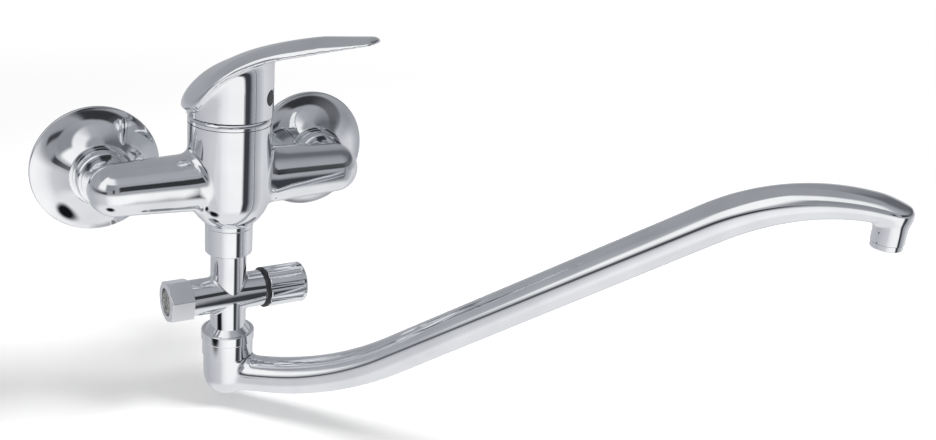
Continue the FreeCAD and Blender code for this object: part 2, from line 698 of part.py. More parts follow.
def make_mixer_body():
    """Upright body with two arms, elbows to the wall and a threaded foot."""
    body = new_body("mixer_body")
    fall = d.body_foot_top - d.body_waist
    inset = d.body_radius - d.body_foot_radius
    waist_arc = (fall * fall + inset * inset) / (2 * inset)
    foot_end = -d.foot_end
    core = turn(body, [
        (0, foot_end),
        (d.foot_thread_radius, foot_end),
        (d.foot_thread_radius, -d.body_bottom),
        (d.body_foot_radius, -d.body_bottom),
        (d.body_foot_radius, -d.body_foot_top, waist_arc),
        (d.body_radius, -d.body_waist),
        (d.body_radius, d.body_top),
        (0, d.body_top),
    ])
    half = d.inlet_spacing / 2
    end = half + d.arm_radius
    arms = turn(body, [
        (-end, 0, -d.arm_radius),
        (-half, d.arm_radius),
        (-d.body_radius, d.arm_root_radius),
        (d.body_radius, d.arm_root_radius),
        (half, d.arm_radius, -d.arm_radius),
        (end, 0),
    ], axis="H_Axis")
    reach = d.body_radius.value
    slack = 0.6

    def where_arms_meet(spot):
        across = math.hypot(spot.y, spot.z)
        inside = abs(spot.x) <= reach + slack
        return inside and abs(across - d.arm_root_radius.value) < slack and abs(spot.x) > 1

    fillet(body, arms, where_arms_meet, d.arm_blend)
    legs = new_sketch(body, "XZ_Plane", 0)
    for side in (-1, 1):
        draw_circle(legs, side * half, 0, d.leg_radius)
    leg_end = d.axis_depth - d.nut_front - d.split
    extrude(body, legs, leg_end, reverse=True)

    # chamber for the cartridge and the bore of the foot
    floor = d.cavity_floor
    thread_low = d.shell_top - d.cavity_thread_relief
    turn(body, [
        (0, floor),
        (d.cavity_radius, floor),
        (d.cavity_radius, thread_low),
        (d.cavity_thread_radius, thread_low),
        (d.cavity_thread_radius, d.body_top + PAST),
        (0, d.body_top + PAST),
    ], [
        (0, foot_end - PAST),
        (d.foot_bore_radius, foot_end - PAST),
        (d.foot_bore_radius, -d.port_floor),
        (0, -d.port_floor),
    ], cut=True)

    # water ways: along the arms, into the legs, up and down through the ports
    near = d.port_circle - d.port_radius
    turn(
        body,
        box_corners(near, half, 0, d.arm_bore_radius),
        box_corners(-half, -near, 0, d.arm_bore_radius),
        cut=True,
        axis="H_Axis",
    )
    for radius, start in ((d.nipple_radius + d.play, leg_end - d.nipple_depth - d.gap),
                          (d.nipple_bore_radius, as_size(0))):
        ways = new_sketch(body, "XZ_Plane", -start)
        for side in (-1, 1):
            draw_circle(ways, side * half, 0, radius)
        extrude(body, ways, d.axis_depth, cut=True)
    inlets = new_sketch(body, "XY_Plane", 0)
    for side in (-1, 1):
        draw_circle(inlets, side * d.port_circle, 0, d.port_radius)
    extrude(body, inlets, floor + PAST, cut=True, reverse=True)
    mixed = new_sketch(body, "XY_Plane", -d.port_floor - PAST)
    draw_circle(mixed, 0, -d.port_circle + d.port_radius, d.port_radius)
    extrude(body, mixed, floor + d.port_floor + 2 * PAST, cut=True, reverse=True)
    return keep(upright(body))


# Cartridge


def port_spots():
    """Hot, cold and mixed ports seen from above."""
    return (
        (d.port_circle, 0),
        (-d.port_circle, 0),
        (0, -d.port_circle + d.port_radius),
    )


def bored_disc(label, radius, low, high, hole):
    """A flat disc with the three ports."""
    body = turned_part(label, box_corners(0, radius, low, high))
    holes = new_sketch(body, "XY_Plane", low - PAST)
    for x, y in port_spots():
        draw_circle(holes, x, y, hole)
    extrude(body, holes, high - low + 2 * PAST, cut=True, reverse=True)
    return body


def make_cartridge():
    shell_outer = d.cavity_radius - d.split

    seals = new_body("cartridge_seals")
    seals.AllowCompound = True
    rings = new_sketch(seals, "XY_Plane", d.cavity_floor)
    for x, y in port_spots():
        draw_circle(rings, x, y, d.seal_radius - d.gap)
        draw_circle(rings, x, y, d.port_radius + d.gap)
    extrude(seals, rings, d.seal_thick)
    keep(upright(seals))

    base = bored_disc("cartridge_base", shell_outer, d.base_low, d.base_high, d.port_radius)
    seats = new_sketch(base, "XY_Plane", d.base_low)
    for x, y in port_spots():
        draw_circle(seats, x, y, d.seal_radius)
    extrude(base, seats, d.seal_thick / 2 + d.gap, cut=True, reverse=True)
    keep(upright(base))
    keep(upright(bored_disc(
        "fixed_ceramic_disc", d.disc_radius, d.base_high, d.disc_high, d.port_radius
    )))

    slider = turned_part(
        "moving_ceramic_disc", box_corners(0, d.slider_radius, d.slider_low, d.slider_high)
    )
    pocket = new_sketch(slider, "XY_Plane", d.slider_low)
    draw_circle(pocket, 0, 0, d.port_circle)
    extrude(slider, pocket, d.slider_pocket, cut=True, reverse=True)
    keep(headed(slider))

    carrier = turned_part(
        "disc_carrier", box_corners(0, d.slider_radius, d.slider_high, d.carrier_high)
    )
    seat_low = d.ball_height - d.ball_radius - d.gap
    seat = new_sketch(carrier, "XY_Plane", seat_low)
    along = d.ball_radius + d.gap
    across = d.ball_radius + d.split
    draw(seat, box_corners(-along, along, -across, across))
    extrude(carrier, seat, d.carrier_high - seat_low + PAST, cut=True, reverse=True)
    keep(headed(carrier))

    neck_hole = d.turner_radius + d.play
    roof_low = d.shell_top - d.shell_roof
    keep(upright(turned_part("cartridge_housing", [
        (d.shell_inner_radius, d.base_high),
        (shell_outer, d.base_high),
        (shell_outer, d.shell_top),
        (neck_hole, d.shell_top),
        (neck_hole, roof_low),
        (d.shell_inner_radius, roof_low),
    ])))

    turner = turned_part("cartridge_turner", [
        (0, d.turner_bottom),
        (d.turner_flange_radius, d.turner_bottom),
        (d.turner_flange_radius, roof_low - d.gap),
        (d.turner_radius, roof_low - d.gap),
        (d.turner_radius, d.turner_top),
        (0, d.turner_top),
    ])
    slot = new_sketch(turner, "XY_Plane", d.turner_bottom - PAST)
    half_slot = d.slot_length / 2
    side = d.stem_square / 2 + d.gap
    draw(slot, box_corners(-half_slot, half_slot, -side, side))
    extrude(turner, slot, d.turner_top - d.turner_bottom + 2 * PAST, cut=True, reverse=True)
    pin_hole = new_sketch(turner, "XZ_Plane", 0)
    draw_circle(pin_hole, 0, d.pivot_height, d.pin_radius + d.play / 5)
    extrude(turner, pin_hole, d.pin_length + d.gap, cut=True, both=True)
    keep(headed(turner))

    pin = new_body("stem_pin")
    section = new_sketch(pin, "XZ_Plane", 0)
    draw_circle(section, 0, d.pivot_height, d.pin_radius)
    extrude(pin, section, d.pin_length, both=True)
    keep(headed(pin))

    stem = new_body("lever_stem")
    blade = new_sketch(stem, "XY_Plane", d.stem_shoulder)
    half_square = d.stem_square / 2
    half_blade = d.stem_blade / 2
    draw(blade, box_corners(-half_square, half_square, -half_square, half_square))
    extrude(stem, blade, d.stem_top - d.stem_shoulder)
    lower = new_sketch(stem, "XY_Plane", d.pivot_height - d.stem_blade / 2)
    draw(lower, box_corners(-half_blade, half_blade, -half_square, half_square))
    extrude(stem, lower, d.stem_shoulder - d.pivot_height + d.stem_blade / 2)
    ball = d.ball_radius
    turn(stem, [
        (0, d.ball_height - ball, ball),
        (ball, d.ball_height, ball),
        (0, d.ball_height + ball),
    ])
    turn(stem, box_corners(0, d.stem_neck_radius, d.ball_height, d.pivot_height))
    eye = new_sketch(stem, "XZ_Plane", 0)
    draw_circle(eye, 0, d.pivot_height, d.pin_radius + d.play)
    extrude(stem, eye, d.stem_square + 2 * PAST, cut=True, both=True)
    point = new_sketch(stem, "YZ_Plane", half_square - d.gap * 4)
    draw_circle(point, 0, d.grub_height, d.grub_radius)
    extrude(stem, point, d.gap * 4 + PAST, cut=True, reverse=True)
    keep(headed(stem))

    keep(upright(ring_part(
        "cartridge_nut",
        d.clamp_hole_radius,
        d.cavity_thread_radius - d.gap,
        d.shell_top + d.gap,
        d.body_top - d.clamp_sink,
    )))
    ring_low = d.body_top + d.split
    keep(upright(turned_part("trim_ring", [
        (d.ring_hole_radius, ring_low),
        (d.body_radius, ring_low),
        (d.body_radius, d.ring_top - d.ring_shoulder, d.ring_shoulder),
        (d.body_radius - d.ring_shoulder, d.ring_top),
        (d.ring_hole_radius, d.ring_top),
    ])))


# Lever


def on_arc(start, radius, first, slope):
    """A point of an arc that leaves a start point at the first slope, by its slope there."""
    x = start[0] + radius * (sine(first) - sine(slope))
    z = start[1] + radius * (cosine(slope) - cosine(first))
    return x, z


def handle_arcs():
    """The handle's spine: (start point, radius, first slope, last slope) of its three arcs."""
    start = (-d.lever_back, d.lever_bottom - d.lever_skirt)
    rear = (start, d.lever_back_arc, d.lever_back_angle, d.lever_middle_angle)
    middle = (on_arc(*rear), d.lever_middle_arc, d.lever_middle_angle, d.lever_front_angle)
    start = on_arc(*middle)
    radius = (d.lever_reach - start[0]) / (sine(d.lever_front_angle) - sine(d.lever_tip_angle))
    return rear, middle, (start, radius, d.lever_front_angle, d.lever_tip_angle)


def section(label, spot, slope, wide, high):
    """An ellipse across a spine that climbs from -Y to +Z: wide along X, high across the slope."""
    ring = doc.addObject("Part::Ellipse", label)
    bind(ring, "MajorRadius", wide)
    bind(ring, "MinorRadius", high)
    return place(ring, 0.0, -spot[0], spot[1], Vector(1, 0, 0), 90 - as_size(slope))


def lofted(label, rings):
    loft = doc.addObject("Part::Loft", label)
    loft.Sections = rings
    loft.Solid = True
    loft.Ruled = False
    return place(loft, axis=Vector(0, 0, 1), angle=90)


def make_handle():
    """The curved handle: ellipses along three arcs that run into each other, round at the tip."""
    arcs = handle_arcs()
    runs = [arc[1].value * math.radians(arc[2].value - arc[3].value) for arc in arcs]
    rings = []
    travelled = 0.0
    for arc, run, shares in zip(arcs, runs, HANDLE_SHARES):
        start, radius, first, last = arc
        for share in shares:
            part = (travelled + run * share) / sum(runs)
            slope = first + (last - first) * share
            fade = part ** HANDLE_FADE
            wide = d.lever_width_root + (d.lever_width_tip - d.lever_width_root) * fade
            high = d.lever_thick_root + (d.lever_thick_tip - d.lever_thick_root) * fade
            past = max(part - HANDLE_ROUND, 0.0) / (1 - HANDLE_ROUND)
            shrink = math.sqrt(1 - past * past * HANDLE_NOSE)
            label = "handle_ring_%d" % len(rings)
            spot = on_arc(start, radius, first, slope)
            rings.append(section(label, spot, slope, wide * shrink, high * math.sqrt(shrink)))
        travelled += run
    return lofted("handle_band", rings)


def make_lever():
    """Hub and handle in one casting, hollow below, with a square boss for the stem."""
    hub = new_body("lever_hub")
    ceiling = d.lever_bottom + 3 * d.lever_back_arc
    turn(hub, box_corners(0, d.hub_radius, d.lever_bottom, ceiling))
    rear, middle, front = handle_arcs()
    front_end = on_arc(front[0], front[1], front[2], d.lever_front_angle / 3)
    beyond = d.hub_radius + d.cap_radius
    above = new_sketch(hub, "XZ_Plane", 0)
    draw(above, [
        (-beyond, d.lever_bottom - d.lever_skirt),
        rear[0] + (-rear[1],),
        middle[0] + (-middle[1],),
        front[0] + (-front[1],),
        front_end,
        (front_end[0], ceiling + PAST),
        (-beyond, ceiling + PAST),
    ])
    extrude(hub, above, 4 * d.hub_radius, cut=True, both=True)

    hollow = new_body("lever_hollow")
    rim = d.hub_radius - d.hub_rim
    step = rim - d.hub_cavity_radius
    below = d.lever_bottom - 2 * d.lever_width_root
    turn(hollow, [
        (0, below),
        (2 * d.hub_radius, below),
        (2 * d.hub_radius, d.lever_bottom),
        (rim, d.lever_bottom),
        (d.hub_cavity_radius, d.lever_bottom + step),
        (d.hub_cavity_radius, d.hub_cavity_shoulder),
        (d.hub_cavity_roof_radius, d.hub_cavity_top),
        (d.boss_radius, d.hub_cavity_top),
        (d.boss_radius, d.boss_bottom),
        (0, d.boss_bottom),
    ])
    socket = new_sketch(hollow, "XY_Plane", d.boss_bottom - PAST)
    side = d.stem_square / 2 + d.play
    draw(socket, box_corners(-side, side, -side, side))
    extrude(hollow, socket, d.stem_top - d.boss_bottom + PAST + d.gap)
    for radius, start in ((d.grub_radius + d.play, as_size(0)),
                          (d.cap_radius + d.play, d.hub_radius - d.cap_depth)):
        way = new_sketch(hollow, "YZ_Plane", start)
        draw_circle(way, 0, d.grub_height, radius)
        extrude(hollow, way, d.hub_radius - start + d.cap_radius)
    solid = joined("lever_solid", [hub, make_handle()])
    keep(headed(combined("Cut", "lever", solid, hollow)))

    grub = new_body("lever_grub_screw")
    start = d.stem_square / 2 - d.gap * 3
    length = d.hub_radius - d.cap_depth - d.gap - start
    thread = new_sketch(grub, "YZ_Plane", start)
    draw_circle(thread, 0, d.grub_height, d.grub_radius)
    extrude(grub, thread, length)
    drive = new_sketch(grub, "YZ_Plane", start + length - d.grub_socket_depth)
    draw_polygon(drive, 0, d.grub_height, d.grub_socket_radius, 6)
    extrude(grub, drive, d.grub_socket_depth + PAST, cut=True, reverse=True)
    keep(headed(grub))

    cap = new_body("screw_cap")
    face = new_sketch(cap, "YZ_Plane", d.hub_radius - d.cap_depth + d.gap)
    draw_circle(face, 0, d.grub_height, d.cap_radius)
    plug = extrude(cap, face, d.cap_depth)
    outer_face = (d.hub_radius + d.gap).value
    fillet(cap, plug, lambda spot: abs(spot.x - outer_face) < 0.01, d.cap_depth / 5)
    keep(headed(cap))


def draw_polygon(sketch, x, y, radius, count, first=0.0):
    """A regular polygon by its corner radius, first corner at an angle in degrees."""
    corners = []
    for number in range(count):
        angle = as_size(first) + 360.0 * number / count
        corners.append((x + radius * cosine(angle), y + radius * sine(angle)))
    return draw(sketch, corners)


# Outlet nut and diverter


def make_outlet_nut():
    thread = d.foot_thread_radius + d.play
    lip = d.tailpiece_radius + d.split
    top = -d.body_bottom - d.split
    low = -d.outlet_nut_bottom
    edge = d.nut_chamfer
    keep(upright(turned_part("outlet_nut", [
        (thread, top),
        (d.outlet_nut_radius - edge / 2, top),
        (d.outlet_nut_radius, top - edge / 2),
        (d.outlet_nut_radius, low + edge),
        (d.outlet_nut_radius - edge, low),
        (lip, low),
        (lip, low + d.outlet_nut_lip),
        (thread, low + d.outlet_nut_lip),
    ])))
    keep(upright(ring_part(
        "outlet_gasket",
        d.foot_bore_radius,
        d.foot_thread_radius,
        -d.tailpiece_top,
        -d.foot_end - d.gap,
    )))


def make_diverter_body():
    """Upright pipe with a cross barrel: shower outlet to the left, headwork to the right."""
    body = new_body("diverter_body")
    flange_low = -d.tailpiece_low
    flange_high = -d.tailpiece_top
    neck_low = -d.outlet_nut_bottom - d.gap
    foot = -d.collar_thread_bottom
    turn(body, [
        (0, foot),
        (d.collar_thread_radius, foot),
        (d.collar_thread_radius, -d.collar_top - d.split),
        (d.pipe_radius, -d.pipe_flare),
        (d.pipe_radius, neck_low),
        (d.tailpiece_radius, neck_low),
        (d.tailpiece_radius, flange_low),
        (d.foot_thread_radius, flange_low),
        (d.foot_thread_radius, flange_high),
        (0, flange_high),
    ])
    barrel = new_sketch(body, "YZ_Plane", -d.cross_left)
    draw_circle(barrel, 0, -d.cross_height, d.cross_radius)
    arms = extrude(body, barrel, d.cross_left + d.cross_right)
    pipe = d.pipe_radius.value
    cross = d.cross_radius.value
    middle = -d.cross_height.value

    def where_pipes_meet(spot):
        on_pipe = abs(math.hypot(spot.x, spot.y) - pipe) < 0.01
        return on_pipe and abs(math.hypot(spot.y, spot.z - middle) - cross) < 0.01

    fillet(body, arms, where_pipes_meet, d.cross_blend)
    spigot = new_sketch(body, "YZ_Plane", -d.cross_left - d.spigot_length)
    draw_circle(spigot, 0, -d.cross_height, d.spigot_radius)
    extrude(body, spigot, d.spigot_length + PAST)

    # upright water way, wider at the foot for the spout's tail
    tail_end = -d.spout_tail_top + d.gap
    turn(body, [
        (0, foot - PAST),
        (d.spout_tail_radius, foot - PAST),
        (d.spout_tail_radius, tail_end),
        (d.foot_bore_radius, tail_end),
        (d.foot_bore_radius, flange_high + PAST),
        (0, flange_high + PAST),
    ], cut=True)
    head_start = d.plug_half_length + d.split
    for radius, start, length in (
        (d.outlet_bore_radius, -d.cross_left - d.spigot_length - PAST, d.cross_left + d.spigot_length),
        (d.chamber_radius, -d.chamber_left, d.chamber_left + d.cross_right + PAST),
        (d.headwork_radius, head_start, d.cross_right - head_start + PAST),
    ):
        way = new_sketch(body, "YZ_Plane", start)
        draw_circle(way, 0, -d.cross_height, radius)
        extrude(body, way, length, cut=True, reverse=True)
    return keep(upright(body))


def make_diverter_works():
    """Plug with spindle, screwed bush, ring, knob and its screw."""
    plug = new_body("diverter_spindle")
    drum = d.chamber_radius - d.play
    half = d.plug_half_length
    turn(plug, [
        (0, -half),
        (drum, -half),
        (drum, half),
        (d.spindle_radius, half),
        (d.spindle_radius, d.spindle_end),
        (0, d.spindle_end),
    ])
    way = new_sketch(plug, "YZ_Plane", -drum - PAST)
    draw_circle(way, 0, 0, d.plug_bore_radius)
    extrude(plug, way, 2 * drum + 2 * PAST, cut=True, reverse=True)
    flat = new_sketch(plug, "YZ_Plane", -drum - PAST)
    draw(flat, box_corners(d.plug_flat, drum + PAST, -half - PAST, half / 2))
    extrude(plug, flat, 2 * drum + 2 * PAST, cut=True, reverse=True)
    tap = d.knob_screw_radius + d.play
    tap_low = d.spindle_end - d.knob_screw_hole
    turn(plug, box_corners(0, tap, tap_low, d.spindle_end + PAST), cut=True)
    keep(crosswise(plug))

    inner = d.spindle_radius + d.play
    head_start = d.plug_half_length + d.split
    nose = d.headwork_nose_radius
    keep(crosswise(turned_part("diverter_headwork", [
        (inner, head_start),
        (d.headwork_radius - d.play, head_start),
        (d.headwork_radius - d.play, d.cross_right),
        (nose, d.cross_right),
        (nose, d.cross_right + d.headwork_nose),
        (inner, d.cross_right + d.headwork_nose),
    ])))
    keep(crosswise(ring_part(
        "diverter_stop_ring",
        nose + d.play,
        d.stop_ring_radius,
        d.stop_ring_start,
        d.stop_ring_end,
    )))

    knob = new_body("diverter_knob")
    start = d.knob_start
    end = d.knob_end
    edge = d.knob_chamfer
    nose_end = d.cross_right + d.headwork_nose + d.split
    cap_low = end - d.knob_cap_thick - d.gap
    web_low = d.spindle_end + d.gap
    web_high = web_low + d.knob_screw_seat
    screw_way = d.knob_screw_radius + d.gap
    round_body = turn(knob, [
        (nose + d.split, start),
        (d.knob_radius - edge / 2, start),
        (d.knob_radius, start + edge / 2),
        (d.knob_radius, end - edge),
        (d.knob_radius - edge, end),
        (d.knob_cap_radius + d.play, end),
        (d.knob_cap_radius + d.play, cap_low),
        (d.knob_screw_head + d.split, cap_low),
        (d.knob_screw_head + d.split, web_high),
        (screw_way, web_high),
        (screw_way, web_low),
        (inner, web_low),
        (inner, nose_end),
        (nose + d.split, nose_end),
    ])
    flutes = new_sketch(knob, "XY_Plane", start - PAST)
    away = d.knob_radius + d.knob_flute_radius - d.knob_flute_depth
    draw_circle(flutes, away, 0, d.knob_flute_radius)
    flute = extrude(knob, flutes, end - start - 2, cut=True, reverse=True)
    pattern = knob.newObject("PartDesign::PolarPattern", "flutes")
    pattern.Originals = [flute]
    pattern.Axis = (round_body.Profile[0], ["V_Axis"])
    pattern.Angle = 360
    pattern.Occurrences = KNOB_FLUTES
    knob.Tip = pattern
    keep(crosswise(knob))

    screw_end = d.spindle_end - d.knob_screw_grip
    head_low = web_high + d.gap
    head_high = head_low + d.knob_screw_head_height
    keep(crosswise(turned_part("knob_screw", [
        (0, screw_end),
        (d.knob_screw_radius, screw_end),
        (d.knob_screw_radius, head_low),
        (d.knob_screw_head, head_low),
        (d.knob_screw_head, head_high),
        (0, head_high),
    ])))
    keep(crosswise(turned_part("knob_cap", [
        (0, cap_low + d.gap),
        (d.knob_cap_radius, cap_low + d.gap),
        (d.knob_cap_radius, end),
        (0, end + d.knob_cap_crown),
    ])))


def make_shower_outlet():
    """Hexagon with the hose thread, and the white check valve seen in its mouth."""
    start = -d.cross_left - d.gap
    end = start - d.hexagon_length
    mouth = end + d.hose_thread_depth
    seat = mouth + d.valve_seat_room + d.valve_flange + d.gap
    web = -d.cross_left - d.spigot_length - d.gap
    body = new_body("shower_outlet_hex")
    hexagon = new_sketch(body, "XY_Plane", end)
    corner = d.hexagon_flats / 2 / cosine(as_size(30))
    draw_polygon(hexagon, as_size(0), as_size(0), corner, 6, d.hexagon_angle)
    extrude(body, hexagon, d.hexagon_length)
    turn(body, [
        (0, end - PAST),
        (d.hose_thread_radius, end - PAST),
        (d.hose_thread_radius, mouth),
        (d.hose_thread_radius + d.valve_seat_step, mouth),
        (d.hose_thread_radius + d.valve_seat_step, seat),
        (d.outlet_bore_radius, seat),
        (d.outlet_bore_radius, web),
        (d.spigot_radius + d.play, web),
        (d.spigot_radius + d.play, start + PAST),
        (0, start + PAST),
    ], cut=True)
    chamfer_to = corner + PAST
    trim = d.hexagon_flats / 2
    turn(body, [
        (trim, end - PAST),
        (chamfer_to, end - PAST),
        (chamfer_to, end + (chamfer_to - trim) * 0.5),
        (trim, end),
    ], cut=True)
    keep(crosswise(body))

    valve = new_body("shower_check_valve")
    low = mouth + d.valve_seat_room
    high = low + d.valve_flange
    barrel = d.outlet_bore_radius - d.play * 2
    turn(valve, [
        (d.valve_bore_radius, low),
        (d.hose_thread_radius + d.valve_seat_step - d.gap, low),
        (d.hose_thread_radius + d.valve_seat_step - d.gap, high),
        (barrel, high),
        (barrel, high + d.valve_length),
        (d.valve_bore_radius, high + d.valve_length),
    ])
    ribs = new_sketch(valve, "XY_Plane", low)
    reach = d.valve_bore_radius + PAST
    half_rib = d.valve_rib / 2
    draw(ribs, [
        (-reach, -half_rib), (-half_rib, -half_rib), (-half_rib, -reach), (half_rib, -reach),
        (half_rib, -half_rib), (reach, -half_rib), (reach, half_rib), (half_rib, half_rib),
        (half_rib, reach), (-half_rib, reach), (-half_rib, half_rib), (-reach, half_rib),
    ])
    extrude(valve, ribs, d.valve_flange * 2)
    hub = new_sketch(valve, "XY_Plane", low)
    draw_circle(hub, 0, 0, d.valve_bore_radius / 2)
    extrude(valve, hub, d.valve_flange * 4)
    keep(crosswise(valve))


# Spout


def make_spout_nut():
    thread = d.collar_thread_radius + d.play
    lip = d.spout_neck_radius + d.split
    low = -d.collar_bottom
    band_low = -d.collar_top - d.collar_band
    edge = d.nut_chamfer / 2
    keep(upright(turned_part("spout_nut", [
        (thread, -d.collar_top),
        (d.collar_radius - edge, -d.collar_top),
        (d.collar_radius, -d.collar_top - edge),
        (d.collar_radius, band_low),
        (d.collar_lower_radius, band_low - edge),
        (d.collar_lower_radius, low),
        (lip, low),
        (lip, low + d.collar_lip),
        (thread, low + d.collar_lip),
    ])))
    keep(upright(ring_part(
        "spout_slip_ring", lip, thread - d.split, -d.slip_ring_low, -d.spout_flange_low - d.gap
    )))


def spout_path():
    """Corners of the spout's centre line in the plane of its heading, from foot to tip."""
    start = d.tube_start_angle
    slope = d.tube_run_angle
    tip = d.tube_tip_angle
    x1 = d.tube_start
    z1 = -d.elbow_height + x1 * sine(start) / cosine(start)
    x2 = x1 + d.tube_rise_arc * (sine(slope) - sine(start))
    z2 = z1 + d.tube_rise_arc * (cosine(start) - cosine(slope))
    x3 = x2 + d.tube_run * cosine(slope)
    z3 = z2 + d.tube_run * sine(slope)
    x4 = x3 + d.tube_tip_arc * (sine(slope) + sine(tip))
    z4 = z3 + d.tube_tip_arc * (cosine(tip) - cosine(slope))
    return (x1, z1), (x2, z2), (x3, z3), (x4, z4)


def swept_tube(label, radius, path):
    """A round bar along the foot, lower bend and long straight run."""
    first, second, third, _ = path
    spine = new_body(label + "_spine")
    sketch = new_sketch(spine, "XZ_Plane", 0)
    draw(sketch, [
        (0, -d.elbow_height),
        first + (d.tube_rise_arc,),
        second,
        third,
    ], closed=False)
    ring = doc.addObject("Part::Circle", label + "_ring")
    bind(ring, "Radius", radius)
    place(ring, 0.0, 0.0, -d.elbow_height, Vector(0, 1, 0), 90 - d.tube_start_angle)
    sweep = doc.addObject("Part::Sweep", label)
    sweep.Sections = [ring]
    sweep.Spine = (sketch, ["Edge1", "Edge2", "Edge3"])
    sweep.Solid = True
    sweep.Frenet = False
    return sweep


def tip_bar(label, path, radius):
    """The upper bend as a bar that flattens towards a rounded nose."""
    bend, end = path[2], path[3]
    turn_by = d.tube_run_angle + d.tube_tip_angle
    flatten = d.tip_height - d.tube_radius
    rings = []
    for number in range(TIP_STEPS + 1):
        part = number / TIP_STEPS
        slope = d.tube_run_angle - turn_by * part
        spot = on_arc(bend, d.tube_tip_arc, d.tube_run_angle, slope)
        high = radius + flatten * (part * part * (3 - 2 * part))
        rings.append(section(label + "_ring_%d" % number, spot, slope, radius, high))
    for number, (part, scale) in enumerate(TIP_NOSE):
        run = part * (d.tip_overhang + d.tip_nose + radius - d.tube_radius)
        spot = (
            end[0] + run * cosine(d.tube_tip_angle),
            end[1] - run * sine(d.tube_tip_angle),
        )
        wide = radius * scale
        high = (radius + flatten) * scale
        rings.append(section(label + "_nose_%d" % number, spot, -d.tube_tip_angle, wide, high))
    return lofted(label, rings)


def nozzle_centre(path):
    """Where the outlet's upright axis crosses the tube's axis."""
    x4, z4 = path[3]
    return x4 + d.tip_overhang, z4 - d.tip_overhang * sine(d.tube_tip_angle)


def make_spout():
    """Round foot with a sealed tail, bent tube, flattened tip and downward outlet."""
    path = spout_path()
    foot = new_body("spout_foot")
    flange_low = -d.spout_flange_low
    flange_high = -d.spout_flange_top
    elbow_top = -d.collar_bottom - d.split
    tail = d.spout_tail_radius - d.play
    groove = tail - d.o_ring
    ring_spots = o_ring_spots(flange_high)
    ring_half = d.o_ring * 0.8
    outline = [
        (0, -d.elbow_height - d.elbow_radius, d.elbow_radius),
        (d.elbow_radius, -d.elbow_height),
        (d.elbow_radius, elbow_top),
        (d.spout_neck_radius, elbow_top),
        (d.spout_neck_radius, flange_low),
        (d.spout_flange_radius, flange_low),
        (d.spout_flange_radius, flange_high),
        (tail, flange_high),
    ]
    for spot in ring_spots:
        outline += [
            (tail, spot - ring_half), (groove, spot - ring_half),
            (groove, spot + ring_half), (tail, spot + ring_half),
        ]
    outline += [(tail, -d.spout_tail_top), (0, -d.spout_tail_top)]
    turn(foot, outline)

    x, z = nozzle_centre(path)
    nozzle = new_body("spout_nozzle")
    turn(nozzle, box_corners(0, d.nozzle_radius, -d.nozzle_length, 0))
    place(nozzle, x, 0.0, z)

    bar = swept_tube("spout_bar", d.tube_radius, path)
    tip = tip_bar("spout_tip", path, d.tube_radius)
    outer = joined("spout_outer", [foot, bar, tip, nozzle])

    inner_radius = d.tube_radius - d.tube_wall
    way = swept_tube("spout_way", inner_radius, path)
    tip_way = tip_bar("spout_tip_way", path, inner_radius)
    down = new_body("spout_down")
    turn(down, box_corners(0, d.spout_bore_radius, -d.elbow_height, -d.spout_tail_top + PAST))
    mouth = new_body("spout_mouth")
    thread = d.aerator_thread_radius + d.play
    thread_top = -d.nozzle_length + d.aerator_thread_length + d.gasket_thick + d.gap
    turn(mouth, [
        (0, -d.nozzle_length - PAST),
        (thread, -d.nozzle_length - PAST),
        (thread, thread_top),
        (thread - d.aerator_wall, thread_top),
        (thread - d.aerator_wall, 0),
        (0, 0),
    ])
    place(mouth, x, 0.0, z)
    inner = joined("spout_inner", [way, tip_way, down, mouth])
    keep(headed(combined("Cut", "spout", outer, inner)))

    rings = new_body("spout_o_rings")
    rings.AllowCompound = True
    turn(rings, *[
        box_corners(groove + d.gap, tail, spot - ring_half + d.gap, spot + ring_half - d.gap)
        for spot in ring_spots
    ])
    keep(upright(rings))
    make_aerator(x, z)


def o_ring_spots(flange_high):
    """Heights of the two o-rings, evenly spread over the tail."""
    length = -d.spout_tail_top - flange_high
    return (flange_high + length / 3, flange_high + length * 2 / 3)


def at_tip(piece, x, z):
    """Moves a piece from its own axis to the outlet's axis at the spout's tip."""
    reach_x = x * sine(d.rest_angle)
    reach_y = -d.axis_depth - x * cosine(d.rest_angle)
    return place(piece, reach_x, reach_y, z)


def make_aerator(x, z):
    low = -d.nozzle_length - d.split
    inner = d.aerator_thread_radius - d.aerator_wall
    top = -d.nozzle_length + d.aerator_thread_length
    edge = d.aerator_rim / 6
    rim_low = low - d.aerator_rim
    housing = turned_part("aerator_housing", [
        (inner - edge, rim_low),
        (d.aerator_rim_radius - edge, rim_low),
        (d.aerator_rim_radius, rim_low + edge),
        (d.aerator_rim_radius, low),
        (d.aerator_thread_radius, low),
        (d.aerator_thread_radius, top),
        (inner, top),
        (inner, rim_low + edge),
    ])
    keep(at_tip(housing, x, z))
    insert = turned_part(
        "aerator_insert",
        box_corners(0, inner - d.play, rim_low + edge + d.gap, top - edge),
    )
    jets = new_sketch(insert, "XY_Plane", rim_low)
    draw_circle(jets, 0, 0, d.jet_radius)
    draw_circle(jets, inner * 0.36, 0, d.jet_radius)
    draw_circle(jets, inner * 0.72 * cosine(as_size(30)), inner * 0.36, d.jet_radius)
    jet = extrude(insert, jets, top - rim_low + PAST, cut=True, reverse=True)
    pattern = insert.newObject("PartDesign::PolarPattern", "jets")
    pattern.Originals = [jet]
    pattern.Axis = (jets, ["N_Axis"])
    pattern.Angle = 360
    pattern.Occurrences = 6
    insert.Tip = pattern
    keep(at_tip(insert, x, z))
    gasket = ring_part(
        "aerator_gasket", inner - edge, d.aerator_thread_radius - d.gap,
        top + d.gap / 2, top + d.gasket_thick,
    )
    keep(at_tip(gasket, x, z))


# Build, check and write


